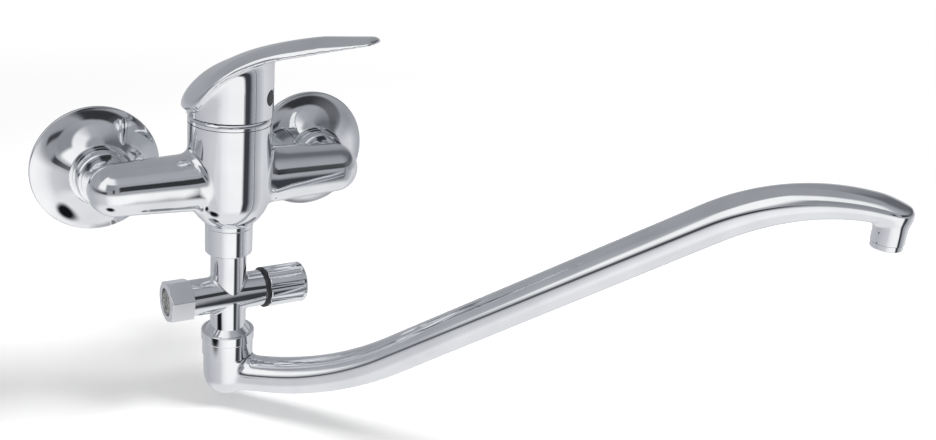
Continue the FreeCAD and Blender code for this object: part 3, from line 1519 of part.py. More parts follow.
def build():
    for side, name in ((-1, "left"), (1, "right")):
        make_union(side, name + "_s_union")
        make_rosette(side, name + "_rosette")
        make_union_nut(side, name + "_union_nut")
        make_inlet_gasket(side, name + "_inlet_gasket")
        make_nipple(side, name + "_inlet_nipple")
    make_mixer_body()
    make_cartridge()
    make_lever()
    make_outlet_nut()
    make_diverter_body()
    make_diverter_works()
    make_shower_outlet()
    make_spout_nut()
    make_spout()
    doc.recompute()


def check():
    """Stops with the names of everything that failed to build."""
    faults = []
    for item in doc.Objects:
        if "Invalid" in item.State or "Error" in item.State:
            faults.append("%s is %s" % (item.Name, ", ".join(item.State)))
    for piece in nodes:
        if piece.Shape.isNull() or not piece.Shape.isValid() or not piece.Shape.Solids:
            faults.append("%s has no sound solid" % piece.Label)
    if faults:
        raise SystemExit("\n".join(faults))


def write():
    os.makedirs("parts", exist_ok=True)
    for piece in nodes:
        piece.Shape.exportStep(os.path.join("parts", piece.Label + ".step"))
        box = piece.Shape.BoundBox
        print("%-22s %2d solid %9.1f mm3  x %.1f %.1f  y %.1f %.1f  z %.1f %.1f" % (
            piece.Label, len(piece.Shape.Solids), piece.Shape.Volume,
            box.XMin, box.XMax, box.YMin, box.YMax, box.ZMin, box.ZMax,
        ))


build()
check()
write()
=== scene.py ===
"""Looks of a wall-mounted mixer tap with a shower diverter and a long bent spout.

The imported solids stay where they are. The parts that are seen are modelled again here
with their rounded edges and soft transitions, in metres and in the same frame.
"""

from __future__ import annotations

import logging
import math
from dataclasses import dataclass, field
from enum import Enum
from typing import Any, Callable, Sequence

import bpy
from mathutils import Matrix, Vector

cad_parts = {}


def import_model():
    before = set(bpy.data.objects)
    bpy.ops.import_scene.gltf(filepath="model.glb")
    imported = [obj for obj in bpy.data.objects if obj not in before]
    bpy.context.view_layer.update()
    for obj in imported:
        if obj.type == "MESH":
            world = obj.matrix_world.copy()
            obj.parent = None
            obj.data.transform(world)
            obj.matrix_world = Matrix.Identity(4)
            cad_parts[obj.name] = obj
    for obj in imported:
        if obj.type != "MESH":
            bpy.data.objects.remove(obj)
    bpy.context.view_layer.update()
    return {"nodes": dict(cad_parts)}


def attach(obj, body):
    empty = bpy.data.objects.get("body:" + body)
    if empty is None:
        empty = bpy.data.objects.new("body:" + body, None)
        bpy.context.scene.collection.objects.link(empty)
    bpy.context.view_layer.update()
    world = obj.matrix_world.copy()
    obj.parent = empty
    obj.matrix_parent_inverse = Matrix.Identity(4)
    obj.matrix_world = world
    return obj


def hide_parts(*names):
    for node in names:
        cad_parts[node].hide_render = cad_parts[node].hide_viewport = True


LOG = logging.getLogger("mixer_tap")

# One millimetre in the scene's metres
MM = 0.001
# Points closer together than this are sewn into one
WELD = 0.002 * MM
# A turn or a growth smaller than this is none
STILL = 1e-9
# How far one pass of relaxing moves a point towards the middle of its neighbours
RELAXING = 0.5

Point = tuple[float, float]
Stops = Sequence[tuple[float, str]]


# Bench work: small steps that every part is shaped with


class Facing(Enum):
    """Which way the axis of a turned part points: turns about X and Y, in degrees."""

    UP = (0.0, 0.0)
    OUT_OF_WALL = (90.0, 0.0)
    RIGHT = (0.0, 90.0)


class Body(Enum):
    """The moving groups that carry parts modelled here."""

    TAP = "tap"
    LEVER = "lever"
    DIVERTER = "diverter"
    SPOUT = "spout"


def deselect_all() -> None:
    """Leaves nothing selected, so that the next step acts on its own part alone."""
    if bpy.context.object and bpy.context.object.mode != "OBJECT":
        bpy.ops.object.mode_set(mode="OBJECT")
    bpy.ops.object.select_all(action="DESELECT")


def pick(part: bpy.types.Object) -> None:
    """Makes one part the only selected and the active one.

    Args:
        part: The part to work on.
    """
    deselect_all()
    part.select_set(True)
    bpy.context.view_layer.objects.active = part


def settle(part: bpy.types.Object) -> bpy.types.Object:
    """Bakes a part's place, turn and scale into its mesh.

    Args:
        part: The part to settle.

    Returns:
        The same part, at the origin, unturned and unscaled.
    """
    pick(part)
    bpy.ops.object.transform_apply(location=True, rotation=True, scale=True)
    return part


def apply_modifier(
    part: bpy.types.Object, kind: str, **settings: Any
) -> bpy.types.Object:
    """Adds a modifier and applies it.

    Args:
        part: The part to change.
        kind: The modifier's type.
        **settings: The modifier's settings.

    Returns:
        The same part.
    """
    pick(part)
    modifier = part.modifiers.new(kind.title(), kind)
    for name, value in settings.items():
        setattr(modifier, name, value)
    bpy.ops.object.modifier_apply(modifier=modifier.name)
    return part


def close_up(part: bpy.types.Object, fill: bool = True) -> bpy.types.Object:
    """Merges doubled points, fills open ends and turns all faces outwards.

    Args:
        part: The part to close.
        fill: Whether open ends get a flat face.

    Returns:
        The same part.
    """
    pick(part)
    bpy.ops.object.mode_set(mode="EDIT")
    bpy.ops.mesh.select_all(action="SELECT")
    bpy.ops.mesh.remove_doubles(threshold=WELD)
    if fill:
        bpy.ops.mesh.fill_holes(sides=0)
    bpy.ops.mesh.select_all(action="SELECT")
    bpy.ops.mesh.normals_make_consistent(inside=False)
    bpy.ops.object.mode_set(mode="OBJECT")
    return part


def shade(
    part: bpy.types.Object, angle: float = 32.0, weighted: bool = True
) -> bpy.types.Object:
    """Smooths the shading across soft edges and keeps flat faces flat.

    Args:
        part: The part to shade.
        angle: Edges sharper than this stay sharp, in degrees.
        weighted: Whether large faces rule the shading of the corners beside them.

    Returns:
        The same part.
    """
    pick(part)
    bpy.ops.object.shade_smooth_by_angle(angle=math.radians(angle))
    if weighted:
        apply_modifier(part, "WEIGHTED_NORMAL", keep_sharp=True, weight=100)
    return part


def round_edges(
    part: bpy.types.Object, width: float, segments: int = 3, angle: float = 25.0
) -> bpy.types.Object:
    """Rounds every edge that is sharper than an angle.

    Args:
        part: The part to round.
        width: Width of the rounding in mm.
        segments: Steps across the rounding.
        angle: Smallest angle that counts as an edge, in degrees.

    Returns:
        The same part.
    """
    return apply_modifier(
        part,
        "BEVEL",
        width=width * MM,
        segments=segments,
        limit_method="ANGLE",
        angle_limit=math.radians(angle),
        use_clamp_overlap=False,
    )


def turned(name: str, outline: list[Point], sides: int = 96) -> bpy.types.Object:
    """Turns an outline round the upright axis, ring by ring.

    Args:
        name: Name of the part.
        outline: Radius and height of each ring in mm. A last radius of 0 closes the
            end in a point, and an outline that ends where it starts makes a bore.
        sides: Number of points round each ring.

    Returns:
        The turned part, upright at the origin.
    """
    deselect_all()
    radius, height = outline[0]
    bpy.ops.mesh.primitive_circle_add(
        vertices=sides, radius=radius * MM, location=(0.0, 0.0, height * MM)
    )
    part = bpy.context.object
    part.name = name
    settle(part)
    bpy.ops.object.mode_set(mode="EDIT")
    bpy.ops.mesh.select_all(action="SELECT")
    for new_radius, new_height in outline[1:]:
        rise = (new_height - height) * MM
        bpy.ops.mesh.extrude_region_move(
            TRANSFORM_OT_translate={"value": (0.0, 0.0, rise)}
        )
        if new_radius == 0.0:
            bpy.ops.mesh.merge(type="CENTER")
            break
        grow = new_radius / radius
        if abs(grow - 1.0) > STILL:
            bpy.ops.transform.resize(
                value=(grow, grow, 1.0), center_override=(0.0, 0.0, new_height * MM)
            )
        radius, height = new_radius, new_height
    bpy.ops.object.mode_set(mode="OBJECT")
    return close_up(part)


def arc(first: Point, last: Point, radius: float, steps: int) -> list[Point]:
    """Points of an arc between two points of an outline, without its first point.

    Args:
        first: Start of the arc.
        last: End of the arc.
        radius: Radius in mm. A negative one bulges to the other side.
        steps: Number of steps.

    Returns:
        The points after the first one, in order.
    """
    start, end = Vector(first), Vector(last)
    chord = end - start
    half = chord.length / 2
    side = Vector((-chord.y, chord.x)).normalized()
    rise = math.sqrt(max(radius * radius - half * half, 0.0))
    centre = (start + end) / 2 + side * math.copysign(rise, radius)
    begin = math.atan2(start.y - centre.y, start.x - centre.x)
    finish = math.atan2(end.y - centre.y, end.x - centre.x)
    sweep = (finish - begin + math.pi) % (2 * math.pi) - math.pi
    points = []
    for step in range(1, steps + 1):
        angle = begin + sweep * step / steps
        points.append(
            (
                centre.x + abs(radius) * math.cos(angle),
                centre.y + abs(radius) * math.sin(angle),
            )
        )
    return points


@dataclass(frozen=True)
class Station:
    """One ring of a swept bar, in the upright plane of its heading.

    Attributes:
        along: Distance in front of the upright axis, in mm.
        height: Height in mm.
        slope: Climb of the bar there, in degrees.
        wide: Half width across the plane, in mm.
        high: Half height across the slope, in mm.
    """

    along: float
    height: float
    slope: float
    wide: float
    high: float


def swept(name: str, stations: list[Station], sides: int = 64) -> bpy.types.Object:
    """Extrudes an oval ring from station to station.

    Args:
        name: Name of the part.
        stations: The rings in order.
        sides: Number of points round each ring.

    Returns:
        The closed bar, with its heading along +X.
    """
    deselect_all()
    first = stations[0]
    bpy.ops.mesh.primitive_circle_add(vertices=sides, radius=MM)
    part = bpy.context.object
    part.name = name
    part.location = (first.along * MM, 0.0, first.height * MM)
    part.rotation_euler = (0.0, math.radians(90.0 - first.slope), 0.0)
    part.scale = (first.high, first.wide, 1.0)
    settle(part)
    bpy.ops.object.mode_set(mode="EDIT")
    bpy.ops.mesh.select_all(action="SELECT")
    before = first
    for here in stations[1:]:
        centre = (here.along * MM, 0.0, here.height * MM)
        step = (
            (here.along - before.along) * MM,
            0.0,
            (here.height - before.height) * MM,
        )
        bpy.ops.mesh.extrude_region_move(TRANSFORM_OT_translate={"value": step})
        turn = math.radians(here.slope - before.slope)
        if abs(turn) > STILL:
            bpy.ops.transform.rotate(
                value=turn, orient_axis="Y", center_override=centre
            )
        tall = here.high / before.high
        broad = here.wide / before.wide
        bpy.ops.transform.resize(value=(tall, broad, tall), center_override=centre)
        before = here
    bpy.ops.object.mode_set(mode="OBJECT")
    return close_up(part)


def on_arc(start: Point, radius: float, first: float, slope: float) -> Point:
    """A point of an arc by its slope there.

    Args:
        start: Start of the arc.
        radius: Radius in mm.
        first: Slope at the start, in degrees.
        slope: Slope at the point, in degrees.

    Returns:
        The point, as distance along and height.
    """
    one, two = math.radians(first), math.radians(slope)
    return (
        start[0] + radius * (math.sin(one) - math.sin(two)),
        start[1] + radius * (math.cos(two) - math.cos(one)),
    )


def stand(
    part: bpy.types.Object,
    facing: Facing = Facing.UP,
    place: tuple[float, float, float] = (0.0, 0.0, 0.0),
    heading: float = 0.0,
) -> bpy.types.Object:
    """Turns a part from its upright pose and moves it to its place.

    Args:
        part: The part, modelled upright at the origin.
        facing: Which way its axis points.
        place: Where its origin goes, in mm.
        heading: Turn about the upright axis, in degrees.

    Returns:
        The same part, settled.
    """
    about_x, about_y = (math.radians(value) for value in facing.value)
    spin = Matrix.Rotation(math.radians(heading), 4, "Z")
    turn = Matrix.Rotation(about_y, 4, "Y") @ Matrix.Rotation(about_x, 4, "X")
    part.matrix_world = Matrix.Translation(Vector(place) * MM) @ spin @ turn
    return settle(part)


def cut(
    part: bpy.types.Object, tool: bpy.types.Object, operation: str = "DIFFERENCE"
) -> bpy.types.Object:
    """Cuts a part with a tool, or joins the two, and clears the tool away.

    Args:
        part: The part that stays.
        tool: The shape that cuts or is added.
        operation: DIFFERENCE, UNION or INTERSECT.

    Returns:
        The part.
    """
    apply_modifier(part, "BOOLEAN", operation=operation, solver="EXACT", object=tool)
    bpy.data.objects.remove(tool, do_unlink=True)
    return part


def soften(part: bpy.types.Object, grain: float, passes: int) -> bpy.types.Object:
    """Makes one even skin of joined shapes and relaxes it.

    Args:
        part: The part to soften.
        grain: Size of the new faces in mm.
        passes: How many times the skin is relaxed.

    Returns:
        The same part.
    """
    apply_modifier(
        part, "REMESH", mode="VOXEL", voxel_size=grain * MM, use_smooth_shade=True
    )
    return apply_modifier(part, "SMOOTH", factor=RELAXING, iterations=passes)


def relax(
    part: bpy.types.Object, passes: int, share: Callable[[Vector], float]
) -> bpy.types.Object:
    """Relaxes the skin only where two shapes flow into each other.

    Args:
        part: The part to relax.
        passes: How many times it is relaxed.
        share: How much a point takes part, from 0 to 1, by its place in mm.

    Returns:
        The same part.
    """
    group = part.vertex_groups.new(name="transition")
    for vertex in part.data.vertices:
        weight = share(vertex.co / MM)
        if weight > 0.0:
            group.add([vertex.index], min(weight, 1.0), "REPLACE")
    apply_modifier(
        part, "SMOOTH", factor=RELAXING, iterations=passes, vertex_group=group.name
    )
    part.vertex_groups.clear()
    return part


def ease(value: float, start: float, end: float) -> float:
    """Goes smoothly from 0 at the start to 1 at the end.

    Args:
        value: The value.
        start: Where it is 0.
        end: Where it is 1.

    Returns:
        The eased share.
    """
    share = min(max((value - start) / (end - start), 0.0), 1.0)
    return share * share * (3 - 2 * share)


def copied(part: bpy.types.Object, name: str, merge: bool = False) -> bpy.types.Object:
    """A copy of a part with its own mesh.

    Args:
        part: The part to copy.
        name: Name of the copy.
        merge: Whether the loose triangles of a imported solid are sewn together.

    Returns:
        The copy, free of parents.
    """
    hidden = part.hide_viewport
    part.hide_viewport = False
    pick(part)
    bpy.ops.object.duplicate()
    copy = bpy.context.object
    copy.name = name
    part.hide_viewport = hidden
    copy.parent = None
    for key in list(copy.keys()):
        if key.startswith("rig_"):
            del copy[key]
    if merge:
        pick(copy)
        if copy.data.has_custom_normals:
            bpy.ops.mesh.customdata_custom_splitnormals_clear()
        bpy.ops.object.mode_set(mode="EDIT")
        bpy.ops.mesh.select_all(action="SELECT")
        bpy.ops.mesh.remove_doubles(threshold=WELD)
        bpy.ops.object.mode_set(mode="OBJECT")
    return copy


# Finishes: each starts from the real material and how its surface was made

WHITE = "#FFFFFF"
# Values between which almost all of a noise texture lies
NOISE_SPAN = (0.3, 0.7)
# What is left of a colour in the dullest patches
DULLEST = 0.965
# Size of the patches of colour as a share of the patches of roughness
PATCH_SHARE = 0.7


def linear(code: str) -> tuple[float, float, float, float]:
    """An sRGB hex colour in the linear values that a shader takes.

    Args:
        code: Six hex digits with a leading #.

    Returns:
        Red, green, blue and a fourth value of 1.
    """
    channels = [int(code[place : place + 2], 16) / 255 for place in (1, 3, 5)]
    red, green, blue = (
        value / 12.92 if value <= 0.04045 else ((value + 0.055) / 1.055) ** 2.4
        for value in channels
    )
    return red, green, blue, 1.0


def add_node(
    tree: bpy.types.NodeTree,
    kind: str,
    inputs: dict[str | int, Any] | None = None,
    **settings: Any,
) -> bpy.types.Node:
    """Adds a node with its settings, values and links.

    Args:
        tree: The node tree.
        kind: The node's type.
        inputs: Value or source socket of each input, by its name or number.
        **settings: The node's own settings.

    Returns:
        The new node.
    """
    node = tree.nodes.new(kind)
    for name, value in settings.items():
        setattr(node, name, value)
    for key, value in (inputs or {}).items():
        if isinstance(value, bpy.types.NodeSocket):
            tree.links.new(value, node.inputs[key])
        else:
            node.inputs[key].default_value = value
    return node


def set_stops(ramp: bpy.types.Node, stops: Stops) -> None:
    """Sets the colours of a colour ramp.

    Args:
        ramp: The colour ramp node.
        stops: Place and hex colour of each stop, in order.
    """
    elements = ramp.color_ramp.elements
    while len(elements) > 1:
        elements.remove(elements[-1])
    elements[0].position = stops[0][0]
    elements[0].color = linear(stops[0][1])
    for place, code in stops[1:]:
        elements.new(place).color = linear(code)


@dataclass(frozen=True)
class Finish:
    """A surface finish. Pattern sizes are in mm.

    Attributes:
        title: Name of the material.
        slot: The slot that the finish belongs to. It is not used.
        colour: Main colour.
        metallic: 1 for a metal and 0 for the rest.
        roughness: Mean roughness.
        roughness_spread: How far the roughness wanders over the surface.
        patch: Size of the patches over which it wanders.
        grain: Size of the fine surface texture.
        grain_depth: Height of that texture.
    """

    title: str
    slot: str
    colour: str
    metallic: float
    roughness: float
    roughness_spread: float
    patch: float
    grain: float
    grain_depth: float

    def material(self) -> bpy.types.Material:
        """The finish as a material, made once and then shared."""
        found = bpy.data.materials.get(self.title)
        if found:
            return found
        made = bpy.data.materials.new(self.title)
        made.use_nodes = True
        tree = made.node_tree
        tree.nodes.clear()
        shader = self.shader(tree)
        add_node(tree, "ShaderNodeOutputMaterial", {"Surface": shader.outputs[0]})
        return made

    def shader(self, tree: bpy.types.NodeTree) -> bpy.types.Node:
        """The finish's shader with what feeds it.

        Args:
            tree: The material's node tree.

        Returns:
            The shader node.
        """
        place = self.place(tree)
        return add_node(
            tree,
            "ShaderNodeBsdfPrincipled",
            {
                "Base Color": self.tint(tree, place),
                "Metallic": self.metallic,
                "Roughness": self.wander(tree, place),
                "Normal": self.relief(tree, place),
            },
        )

    def place(self, tree: bpy.types.NodeTree) -> bpy.types.NodeSocket:
        """The point on the part, in metres."""
        return add_node(tree, "ShaderNodeTexCoord").outputs["Object"]

    def tint(
        self, tree: bpy.types.NodeTree, place: bpy.types.NodeSocket
    ) -> bpy.types.NodeSocket:
        """Main colour with the faint unevenness of a real surface.

        Args:
            tree: The material's node tree.
            place: The point on the part.

        Returns:
            The colour socket.
        """
        patches = add_node(
            tree,
            "ShaderNodeTexNoise",
            {"Vector": place, "Scale": 1 / (self.patch * MM), "Detail": 2.0},
        )
        ramp = add_node(tree, "ShaderNodeValToRGB", {"Fac": patches.outputs["Fac"]})
        low, high = NOISE_SPAN
        set_stops(ramp, [(low, self.shaded(DULLEST)), (high, self.colour)])
        return ramp.outputs["Color"]

    def shaded(self, share: float) -> str:
        """The main colour made darker.

        Args:
            share: Share of each channel that is left.

        Returns:
            The hex colour.
        """
        channels = [int(self.colour[place : place + 2], 16) for place in (1, 3, 5)]
        return "#" + "".join(f"{round(value * share):02X}" for value in channels)

    def wander(
        self, tree: bpy.types.NodeTree, place: bpy.types.NodeSocket
    ) -> bpy.types.NodeSocket:
        """Roughness that changes slowly over the surface.

        Args:
            tree: The material's node tree.
            place: The point on the part.

        Returns:
            The roughness socket.
        """
        patches = add_node(
            tree,
            "ShaderNodeTexNoise",
            {"Vector": place, "Scale": PATCH_SHARE / (self.patch * MM), "Detail": 3.0},
        )
        spread = add_node(
            tree,
            "ShaderNodeMapRange",
            {
                "Value": patches.outputs["Fac"],
                "From Min": NOISE_SPAN[0],
                "From Max": NOISE_SPAN[1],
                "To Min": max(self.roughness - self.roughness_spread, 0.0),
                "To Max": self.roughness + self.roughness_spread,
            },
        )
        return spread.outputs["Result"]

    def relief(
        self, tree: bpy.types.NodeTree, place: bpy.types.NodeSocket
    ) -> bpy.types.NodeSocket:
        """Fine relief of the surface.

        Args:
            tree: The material's node tree.
            place: The point on the part.

        Returns:
            The normal socket.
        """
        texture = add_node(
            tree,
            "ShaderNodeTexNoise",
            {"Vector": place, "Scale": 1 / (self.grain * MM), "Detail": 3.0},
        )
        bump = add_node(
            tree,
            "ShaderNodeBump",
            {
                "Height": texture.outputs["Fac"],
                "Distance": self.grain_depth * MM,
                "Strength": 1.0,
            },
        )
        return bump.outputs["Normal"]


@dataclass(frozen=True)
class PolishedChrome(Finish):
    """Bright chromium plate on brass castings that were buffed by hand.

    It mirrors the room. Buffing leaves long, barely seen waves in the mirror, and wiped
    patches are a little duller than the rest.
    """

    title: str = "chrome_plate_on_polished_brass"
    slot: str = "chrome"
    colour: str = "#F6F7F9"
    metallic: float = 1.0
    roughness: float = 0.055
    roughness_spread: float = 0.02
    patch: float = 26.0
    grain: float = 14.0
    grain_depth: float = 0.018


@dataclass(frozen=True)
class TurnedBrass(Finish):
    """Free-cutting brass as it comes off the lathe: yellow, with fine tool marks."""

    title: str = "turned_brass"
    slot: str = "brass"
    colour: str = "#D9B36A"
    metallic: float = 1.0
    roughness: float = 0.3
    roughness_spread: float = 0.06
    patch: float = 8.0
    grain: float = 0.6
    grain_depth: float = 0.01


@dataclass(frozen=True)
class StainlessSteel(Finish):
    """Stainless steel screws and pins, rolled and lightly tumbled: grey and satin."""

    title: str = "stainless_steel"
    slot: str = "steel"
    colour: str = "#B9BABA"
    metallic: float = 1.0
    roughness: float = 0.28
    roughness_spread: float = 0.05
    patch: float = 4.0
    grain: float = 0.5
    grain_depth: float = 0.006


@dataclass(frozen=True)
class AluminaCeramic(Finish):
    """Sintered alumina, lapped flat: dense, near white and faintly glossy."""

    title: str = "lapped_alumina"
    slot: str = "ceramic"
    colour: str = "#F0EDE4"
    metallic: float = 0.0
    roughness: float = 0.22
    roughness_spread: float = 0.05
    patch: float = 6.0
    grain: float = 0.4
    grain_depth: float = 0.003


@dataclass(frozen=True)
class WhiteAcetal(Finish):
    """Injection moulded acetal: milky white with a soft sheen."""

    title: str = "moulded_white_acetal"
    slot: str = "white_plastic"
    colour: str = "#EDEBE6"
    metallic: float = 0.0
    roughness: float = 0.42
    roughness_spread: float = 0.07
    patch: float = 5.0
    grain: float = 0.5
    grain_depth: float = 0.01


@dataclass(frozen=True)
class BlackAbs(Finish):
    """Injection moulded black ABS: deep grey with the fine texture of the mould."""

    title: str = "moulded_black_abs"
    slot: str = "black_plastic"
    colour: str = "#232428"
    metallic: float = 0.0
    roughness: float = 0.4
    roughness_spread: float = 0.08
    patch: float = 5.0
    grain: float = 0.35
    grain_depth: float = 0.012


@dataclass(frozen=True)
class EpdmRubber(Finish):
    """Pressed EPDM rubber: matt and almost black, a little dusty."""

    title: str = "pressed_epdm_rubber"
    slot: str = "rubber"
    colour: str = "#2B2A2B"
    metallic: float = 0.0
    roughness: float = 0.78
    roughness_spread: float = 0.1
    patch: float = 4.0
    grain: float = 0.25
    grain_depth: float = 0.02


# The tap's groups of parts


@dataclass
class SubAssembly:
    """A group of parts that are built and dressed together.

    Attributes:
        nodes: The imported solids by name.
        upright: Distance of the tap's upright axis from the wall, in mm.
        pieces: The finished parts of the group.
    """

    nodes: dict[str, bpy.types.Object]
    upright: float = 45.0
    pieces: list[bpy.types.Object] = field(default_factory=list)

    def build(self) -> None:
        """Builds the group's parts."""
        raise NotImplementedError

    def place(self, height: float = 0.0) -> tuple[float, float, float]:
        """A point on the upright axis, in mm.

        Args:
            height: Height above the arms.

        Returns:
            The point.
        """
        return 0.0, -self.upright, height

    def finish(
        self, part: bpy.types.Object, body: Body, finish: Finish, *stands_for: str
    ) -> bpy.types.Object:
        """Gives a part its finish, its body and the solids that it stands for.

        Args:
            part: The finished part.
            body: The moving group it rides on.
            finish: Its finish.
            *stands_for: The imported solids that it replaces.

        Returns:
            The same part.
        """
        part.data.materials.clear()
        part.data.materials.append(finish.material())
        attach(part, body.value)
        if stands_for:
            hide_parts(*stands_for)
        self.pieces.append(part)
        LOG.info("%s: %d faces, %s", part.name, len(part.data.polygons), finish.title)
        return part

    def dress(self, finish: Finish, *names: str) -> None:
        """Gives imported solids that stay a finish.

        Args:
            finish: The finish.
            *names: The solids.
        """
        for name in names:
            node = self.nodes[name]
            if not node.material_slots:
                node.data.materials.append(finish.material())
            for slot in node.material_slots:
                slot.material = finish.material()
            LOG.info("%s: %s", name, finish.title)


@dataclass
class WallUnions(SubAssembly):
    """Rosettes, union nuts and what lies between them and the wall. Sizes in mm."""

    inlet_spacing: float = 150.0
    rosette_radius: float = 42.0
    rosette_band: float = 2.5
    rosette_neck: float = 20.5
    rosette_depth: float = 16.0
    rosette_sweep: float = 34.0
    rosette_rounding: float = 0.55
    sheet: float = 1.2
    hole: float = 13.5
    nut_radius: float = 18.5
    nut_front: float = 27.0
    nut_chamfer: float = 1.0
    nut_lip: float = 2.9
    nut_thread: float = 13.25
    nut_hole: float = 11.4
    nut_gap: float = 0.3

    def build(self) -> None:
        """Models rosette and nut on each side, and dresses what stays."""
        chrome = PolishedChrome()
        for side, name in ((-1, "left"), (1, "right")):
            spot = (side * self.inlet_spacing / 2, 0.0, 0.0)
            rosette = self.rosette(f"{name}_wall_rosette")
            stand(rosette, Facing.OUT_OF_WALL, spot)
            self.finish(shade(rosette), Body.TAP, chrome, f"{name}_rosette")
            nut = self.nut(f"{name}_round_union_nut")
            stand(nut, Facing.OUT_OF_WALL, spot)
            self.finish(shade(nut), Body.TAP, chrome, f"{name}_union_nut")
            self.dress(chrome, f"{name}_s_union", f"{name}_inlet_nipple")
            self.dress(EpdmRubber(), f"{name}_inlet_gasket")

    def rosette(self, name: str) -> bpy.types.Object:
        """The pressed bell with its rim band.

        Args:
            name: Name of the part.

        Returns:
            The rosette, its wall side down.
        """
        rim, neck = self.rosette_radius, self.rosette_neck
        band, depth, wall = self.rosette_band, self.rosette_depth, self.sheet
        sweep = self.rosette_sweep
        inner_neck, inner_rim = (neck - wall, depth - wall), (rim - wall, band - wall)
        outline = [(rim - wall, 0.0), (rim, 0.0), (rim, band)]
        outline += arc((rim, band), (neck, depth), -sweep, steps=14)
        outline += [(self.hole, depth), (self.hole, depth - wall), inner_neck]
        outline += arc(inner_neck, inner_rim, sweep, steps=14)
        outline += [outline[0]]
        part = turned(name, outline, sides=128)
        return round_edges(part, self.rosette_rounding, angle=20.0)

    def nut(self, name: str) -> bpy.types.Object:
        """The round union nut with its rounded front edge.

        Args:
            name: Name of the part.

        Returns:
            The nut, its wall side down.
        """
        back, front = self.rosette_depth + self.nut_gap, self.nut_front
        radius, thread, hole = self.nut_radius, self.nut_thread, self.nut_hole
        outline = [
            (thread, back),
            (radius, back),
            (radius, front - self.nut_chamfer),
            (radius - self.nut_chamfer, front),
            (hole, front),
            (hole, front - self.nut_lip),
            (thread, front - self.nut_lip),
            (thread, back),
        ]
        return round_edges(turned(name, outline), width=0.3)


@dataclass
class MixerBody(SubAssembly):
    """Cast body with its arms, and the trim ring on top. Sizes are in mm."""

    radius: float = 27.0
    ring_low: float = 39.6
    ring_top: float = 44.5
    ring_rounding: float = 3.2
    ring_hole: float = 19.0

    def build(self) -> None:
        """Rounds the body's shading and builds the ring."""
        chrome = PolishedChrome()
        body = copied(self.nodes["mixer_body"], "cast_mixer_body", merge=True)
        shade(body, angle=30.0, weighted=False)
        self.finish(body, Body.TAP, chrome, "mixer_body")
        ring = stand(self.ring("bright_trim_ring"), place=self.place())
        self.finish(shade(ring), Body.TAP, chrome, "trim_ring")

    def ring(self, name: str) -> bpy.types.Object:
        """The ring between body and lever, rounded at its upper edge.

        Args:
            name: Name of the part.

        Returns:
            The ring.
        """
        radius, rounding, hole = self.radius, self.ring_rounding, self.ring_hole
        low, top = self.ring_low, self.ring_top
        side, face = (radius, top - rounding), (radius - rounding, top)
        outline = [(hole, low), (radius, low), side]
        outline += arc(side, face, rounding, steps=8)
        outline += [(hole, top), (hole, low)]
        return round_edges(turned(name, outline), width=0.25, segments=2)


@dataclass
class Cartridge(SubAssembly):
    """The mixing cartridge inside the body."""

    def build(self) -> None:
        """Dresses the cartridge's solids, which stay as they are."""
        self.dress(
            WhiteAcetal(),
            "cartridge_base",
            "cartridge_housing",
            "cartridge_turner",
            "disc_carrier",
        )
        self.dress(AluminaCeramic(), "fixed_ceramic_disc", "moving_ceramic_disc")
        self.dress(EpdmRubber(), "cartridge_seals")
        self.dress(TurnedBrass(), "cartridge_nut")
        self.dress(StainlessSteel(), "stem_pin", "lever_stem")


@dataclass(frozen=True)
class LeafSection:
    """Cross-section of the lever's leaf: an arch over its two lower edges, in mm.

    Attributes:
        along: Distance in front of the upright axis.
        edge: Height of the lower edges.
        crown: Height of the arch's top.
        wide: Half width between the edges.
    """

    along: float
    edge: float
    crown: float
    wide: float


